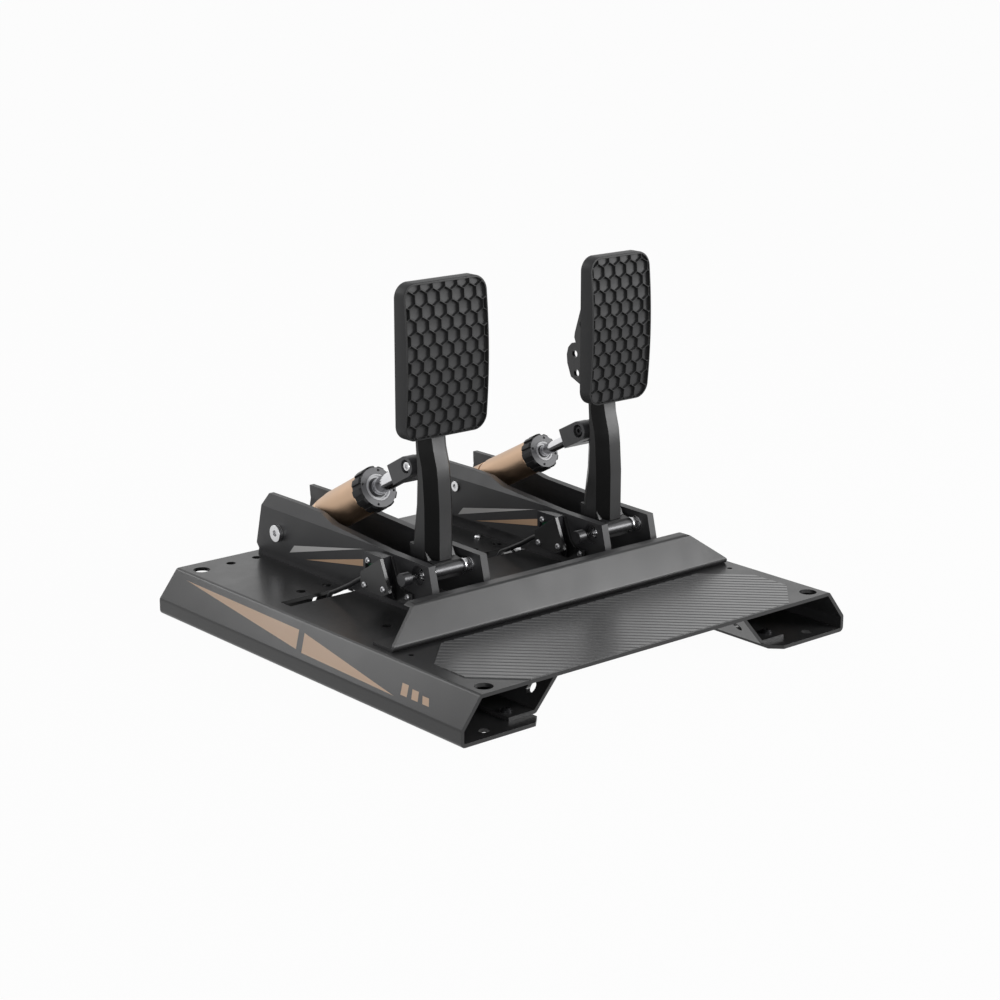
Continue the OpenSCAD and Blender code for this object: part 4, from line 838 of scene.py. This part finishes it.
def hexagon_cell(pitch):
    """One dimple, 1 deep: a slightly hollow floor, steep walls and a narrow ridge, in x and z around the origin."""
    radius = pitch / math.sqrt(3)
    bm = bmesh.new()
    # Each corner gets painted_lit_share, the painted shade of the dimple, from 0 dark to 1 pale
    painted_lit_share = bm.verts.layers.float.new("painted_lit_share")
    inner = [bm.verts.new((0, 1, 0))] * 6
    inner[0][painted_lit_share] = 1.0
    for reach, depth, shares in DIMPLE_PROFILE:
        ring = []
        for k in range(6):
            turn = math.radians(60 * k)
            ring.append(bm.verts.new((radius * reach * math.sin(turn), depth, radius * reach * math.cos(turn))))
            ring[k][painted_lit_share] = shares[min(k, 6 - k)]
        for k in range(6):
            corners = (inner[k], ring[k], ring[k - 5], inner[k - 5])
            bm.faces.new(list(dict.fromkeys(corners)))
        inner = ring
    mesh = bpy.data.meshes.new("dimple")
    bm.to_mesh(mesh)
    bm.free()
    return mesh


def geometry_tree(name, sizes):
    """A node tree that takes a mesh, the named sizes and a material. Returns the tree and its inputs."""
    tree = bpy.data.node_groups.new(name, "GeometryNodeTree")
    face = tree.interface
    face.new_socket("Geometry", in_out="INPUT", socket_type="NodeSocketGeometry")
    for label, value in sizes:
        kind = "NodeSocketInt" if isinstance(value, int) else "NodeSocketFloat"
        face.new_socket(label, in_out="INPUT", socket_type=kind).default_value = value
    face.new_socket("Material", in_out="INPUT", socket_type="NodeSocketMaterial")
    face.new_socket("Geometry", in_out="OUTPUT", socket_type="NodeSocketGeometry")
    return tree, tree.nodes.new("NodeGroupInput").outputs


def end_tree(tree, geometry, given):
    """Makes a tree's result real and gives it the material."""
    real = tree.nodes.new("GeometryNodeRealizeInstances")
    link(tree, geometry, real.inputs[0])
    paint = tree.nodes.new("GeometryNodeSetMaterial")
    link(tree, real.outputs[0], paint.inputs["Geometry"])
    link(tree, given["Material"], paint.inputs["Material"])
    link(tree, paint.outputs[0], tree.nodes.new("NodeGroupOutput").inputs[0])
    return tree


def repeat_tree(name):
    """Repeats the incoming mesh on a staggered grid in x and z."""
    tree, given = geometry_tree(
        name, (("Columns", 7), ("Rows", 12), ("Pitch", 0.012), ("Row height", 0.0104), ("Stagger", 0.5)))
    columns, rows = given["Columns"], given["Rows"]
    points = tree.nodes.new("GeometryNodePoints")
    link(tree, maths(tree, "MULTIPLY", columns, rows), points.inputs["Count"])
    index = tree.nodes.new("GeometryNodeInputIndex").outputs[0]
    row = maths(tree, "FLOOR", maths(tree, "DIVIDE", index, columns))
    column = maths(tree, "SUBTRACT", index, maths(tree, "MULTIPLY", row, columns))
    shift = maths(tree, "MULTIPLY", maths(tree, "FLOORED_MODULO", row, 2), given["Stagger"])
    middle_column = maths(tree, "MULTIPLY", maths(tree, "SUBTRACT", columns, 1), 0.5)
    middle_row = maths(tree, "MULTIPLY", maths(tree, "SUBTRACT", rows, 1), 0.5)
    x = maths(tree, "SUBTRACT", maths(tree, "ADD", column, shift), middle_column)
    z = maths(tree, "SUBTRACT", row, middle_row)
    at = tree.nodes.new("ShaderNodeCombineXYZ")
    link(tree, maths(tree, "MULTIPLY", x, given["Pitch"]), at.inputs[0])
    link(tree, maths(tree, "MULTIPLY", z, given["Row height"]), at.inputs[2])
    set_at = tree.nodes.new("GeometryNodeSetPosition")
    link(tree, points.outputs[0], set_at.inputs["Geometry"])
    link(tree, at.outputs[0], set_at.inputs["Position"])
    copies = tree.nodes.new("GeometryNodeInstanceOnPoints")
    link(tree, set_at.outputs[0], copies.inputs["Points"])
    link(tree, given["Geometry"], copies.inputs["Instance"])
    return end_tree(tree, copies.outputs[0], given)


def baked_nodes(source, tree, values, name):
    """Runs a node tree on a mesh and returns the result as a plain mesh."""
    holder = new_object("holder", source)
    modifier = holder.modifiers.new("nodes", "NODES")
    modifier.node_group = tree
    keys = {s.name: s.identifier for s in tree.interface.items_tree if s.in_out == "INPUT"}
    for label, value in values.items():
        modifier[keys[label]] = value
    graph = bpy.context.evaluated_depsgraph_get()
    mesh = bpy.data.meshes.new_from_object(holder.evaluated_get(graph), depsgraph=graph)
    mesh.name = name
    holder.modifiers.clear()
    bpy.data.objects.remove(holder)
    return mesh


def cut_away(bm, point, normal):
    """Cuts off what lies beyond a plane."""
    geometry = bm.verts[:] + bm.edges[:] + bm.faces[:]
    bmesh.ops.bisect_plane(bm, geom=geometry, plane_co=point, plane_no=normal, clear_outer=True, dist=1e-7)


class PEDALS_OT_pads(bpy.types.Operator):
    """Makes the curved pads with their dimples"""
    bl_idname = "pedals.pads"
    bl_label = "Pads"

    def execute(self, context):
        pads = context.scene.pedal_pads
        tree = repeat_tree("staggered_repeat")
        for side in PEDALS:
            self.pad(side, pads, tree)
        return {"FINISHED"}

    def pad(self, side, pads, tree):
        node = side + "_pad"
        low, high = Vector(low_corner(node)), Vector(high_corner(node))
        centre = (low + high) / 2
        half_w, half_h = (high.x - low.x) / 2, (high.z - low.z) / 2
        row = pads.pitch * math.sqrt(3) / 2
        columns = 2 * (math.ceil(half_w / pads.pitch) + 1) + 1
        rows = 2 * (math.ceil(half_h / row) + 1) + 1
        mesh = baked_nodes(hexagon_cell(pads.pitch), tree, {
            "Columns": columns, "Rows": rows, "Pitch": pads.pitch, "Row height": row,
            "Stagger": 0.5, "Material": FINISHES["pad"]}, node + "_detail")
        bm = bmesh.new()
        bm.from_mesh(mesh)
        bmesh.ops.remove_doubles(bm, verts=bm.verts, dist=DIMPLE_MERGE)
        bmesh.ops.translate(bm, verts=bm.verts, vec=(0, 0, -pads.shift))
        self.trim(bm, half_w - pads.rim, half_h - pads.rim, pads.corner - pads.rim)

        def front(z):
            return low.y + pads.curve - math.sqrt(pads.curve ** 2 - z ** 2)

        def outward(v):
            return self.outward(v.co.x - centre.x, v.co.z - centre.z, half_w, half_h, pads.corner)

        painted_lit_share = bm.verts.layers.float["painted_lit_share"]
        for v in bm.verts:
            v.co = Vector((centre.x + v.co.x, front(v.co.z) + v.co.y * pads.depth, centre.z + v.co.z))
        edges = [e for e in bm.edges if e.is_boundary]
        reach = 0.0
        for out, fall in self.rim_steps(pads):
            made = bmesh.ops.extrude_edge_only(bm, edges=edges)["geom"]
            for v in [g for g in made if isinstance(g, bmesh.types.BMVert)]:
                # Painted shade on the rim: dark at the top of the dimples' cut, paler further out
                v[painted_lit_share] = min(1.0, reach / (2 * RIM_CUT))
                v.co += outward(v) * (out - reach)
                v.co.y = high.y if fall is None else front(v.co.z - centre.z) + fall
            reach = out
            edges = [g for g in made if isinstance(g, bmesh.types.BMEdge)]
        bmesh.ops.contextual_create(bm, geom=edges)
        bmesh.ops.recalc_face_normals(bm, faces=bm.faces)
        bm.to_mesh(mesh)
        bm.free()
        smooth_by_angle(mesh, DIMPLE_SHARP_ANGLE)
        dress(new_object(node + "_detail", mesh), node, "pad")

    def rim_steps(self, pads):
        """How far out and back each line of the rim lies: up the dimples' cut, across, round and to the rear."""
        steps = [(RIM_CUT, 0.0), (pads.rim - pads.rounding, 0.0)]
        for k in (1, 2, 3):
            a = math.radians(30 * k)
            steps.append((pads.rim - pads.rounding * (1 - math.sin(a)), pads.rounding * (1 - math.cos(a))))
        return steps + [(pads.rim, None)]

    def trim(self, bm, half_w, half_h, corner):
        """Cuts a mesh to a rectangle with round corners."""
        for x in SIDES:
            cut_away(bm, (x * half_w, 0, 0), (x, 0, 0))
            cut_away(bm, (0, 0, x * half_h), (0, 0, x))
            for z in SIDES:
                c = Vector((x * (half_w - corner), 0, z * (half_h - corner)))
                for k in range(1, 9):
                    a = math.radians(90 * k / 9)
                    n = Vector((x * math.cos(a), 0, z * math.sin(a)))
                    cut_away(bm, c + n * corner, n)

    def outward(self, x, z, half_w, half_h, corner):
        """The direction out of the pad at a place on its outline."""
        dx, dz = abs(x) - (half_w - corner), abs(z) - (half_h - corner)
        if dx > 0 and dz > 0:
            return Vector((math.copysign(dx, x), 0, math.copysign(dz, z))).normalized()
        if half_w - abs(x) < half_h - abs(z):
            return Vector((math.copysign(1, x), 0, 0))
        return Vector((0, 0, math.copysign(1, z)))


class PEDALS_OT_dampers(bpy.types.Operator):
    """Dresses the dampers, their rods and clevises"""
    bl_idname = "pedals.dampers"
    bl_label = "Dampers"

    def execute(self, context):
        edge = context.scene.pedal_module.edge
        for side in PEDALS:
            refined(side + "_barrel", "bronze", edge)
            refined(side + "_gland", side + "_gland")
            refined(side + "_rear_eye", "bronze", edge)
            refined(side + "_clevis", "clevis", edge)
            refined(side + "_rod", "polished")
            refined(side + "_knob", side + "_knob", SMALL_EDGE)
        refined("brake_end_sleeve", "bronze", edge)
        pressed(refined("brake_elastomers", "elastomer"), "brake")
        refined("brake_jam_nut", "satin")
        refined("brake_clevis_bolt", "bright")
        refined("throttle_clevis_bolt", "bolt")
        pressed(refined("throttle_spring", "bright", 0), "throttle")
        return {"FINISHED"}


class PEDALS_OT_sensors(bpy.types.Operator):
    """Dresses the angle sensors and their cables"""
    bl_idname = "pedals.sensors"
    bl_label = "Sensors"

    def execute(self, context):
        refined("sensor_brackets", "steel", SMALL_EDGE)
        refined("sensor_housings", "plastic", context.scene.pedal_module.edge)
        refined("sensor_covers", "steel", SMALL_EDGE)
        refined("sensor_screws", "satin")
        plain("sensor_boards", "board")
        self.cables()
        return {"FINISHED"}

    def cables(self):
        mesh = bpy.data.meshes.new("cable_paths")
        points, edges = [], []
        for route in CABLE_ROUTES:
            path = smooth_path([Vector(p) * MM for p in route], 8)
            edges += [(len(points) + i, len(points) + i + 1) for i in range(len(path) - 1)]
            points += path
        mesh.from_pydata(points, edges, [])
        tube = baked_nodes(mesh, tube_tree("cable_tube"), {
            "Radius": CABLE_D / 2 * MM, "Sides": 20, "Material": FINISHES["cable"]}, "sensor_cables_detail")
        smooth_by_angle(tube, CABLE_SHARP_ANGLE)
        dress(new_object("sensor_cables_detail", tube), "sensor_cables", "cable")


def smooth_path(points, steps):
    """Points along a smooth curve that passes through the given ones."""
    path = []
    last = len(points) - 1
    for i in range(last):
        a, b, c, d = points[max(i - 1, 0)], points[i], points[i + 1], points[min(i + 2, last)]
        for k in range(steps):
            t = k / steps
            path.append(0.5 * (2 * b + (c - a) * t + (2 * a - 5 * b + 4 * c - d) * t * t
                               + (3 * b - a - 3 * c + d) * t * t * t))
    return path + [points[last]]


def tube_tree(name):
    """Turns the edges of the incoming mesh into round tubes."""
    tree, given = geometry_tree(name, (("Radius", 0.002), ("Sides", 20)))
    curve = tree.nodes.new("GeometryNodeMeshToCurve")
    link(tree, given["Geometry"], curve.inputs[0])
    circle = tree.nodes.new("GeometryNodeCurvePrimitiveCircle")
    link(tree, given["Radius"], circle.inputs["Radius"])
    link(tree, given["Sides"], circle.inputs["Resolution"])
    sweep = tree.nodes.new("GeometryNodeCurveToMesh")
    sweep.inputs["Fill Caps"].default_value = True
    link(tree, curve.outputs[0], sweep.inputs["Curve"])
    link(tree, circle.outputs[0], sweep.inputs["Profile Curve"])
    return end_tree(tree, sweep.outputs[0], given)


class PEDALS_OT_control_box(bpy.types.Operator):
    """Dresses the control box under the plate"""
    bl_idname = "pedals.control_box"
    bl_label = "Control box"

    def execute(self, context):
        refined("control_box", "plastic", context.scene.pedal_base.edge)
        refined("control_lid", "plastic", SMALL_EDGE)
        refined("control_screws", "bright")
        plain("control_board", "board")
        return {"FINISHED"}


class PEDALS_PT_panel(bpy.types.Panel):
    """Lists the steps that dress the pedal set"""
    bl_label = "Pedal set"
    bl_idname = "PEDALS_PT_panel"
    bl_space_type = "VIEW_3D"
    bl_region_type = "UI"
    bl_category = "Pedals"

    def draw(self, context):
        for operator in OPERATORS:
            self.layout.operator(operator.bl_idname)


GROUPS = (
    ("pedal_stage", PedalStageSettings),
    ("pedal_base", PedalBaseSettings),
    ("pedal_pads", PedalPadSettings),
    ("pedal_module", PedalModuleSettings),
)
OPERATORS = (
    PEDALS_OT_stage, PEDALS_OT_base, PEDALS_OT_heel_sheet, PEDALS_OT_modules, PEDALS_OT_arms, PEDALS_OT_pads,
    PEDALS_OT_dampers, PEDALS_OT_sensors, PEDALS_OT_control_box)


def register():
    for name, group in GROUPS:
        bpy.utils.register_class(group)
        setattr(bpy.types.Scene, name, bpy.props.PointerProperty(type=group))
    for operator in OPERATORS:
        bpy.utils.register_class(operator)
    bpy.utils.register_class(PEDALS_PT_panel)


def unregister():
    bpy.utils.unregister_class(PEDALS_PT_panel)
    for operator in reversed(OPERATORS):
        bpy.utils.unregister_class(operator)
    for name, group in reversed(GROUPS):
        delattr(bpy.types.Scene, name)
        bpy.utils.unregister_class(group)


def main():
    register()
    make_finishes()
    for operator in OPERATORS:
        group, name = operator.bl_idname.split(".")
        getattr(getattr(bpy.ops, group), name)()


if __name__ == "__main__":
    main()
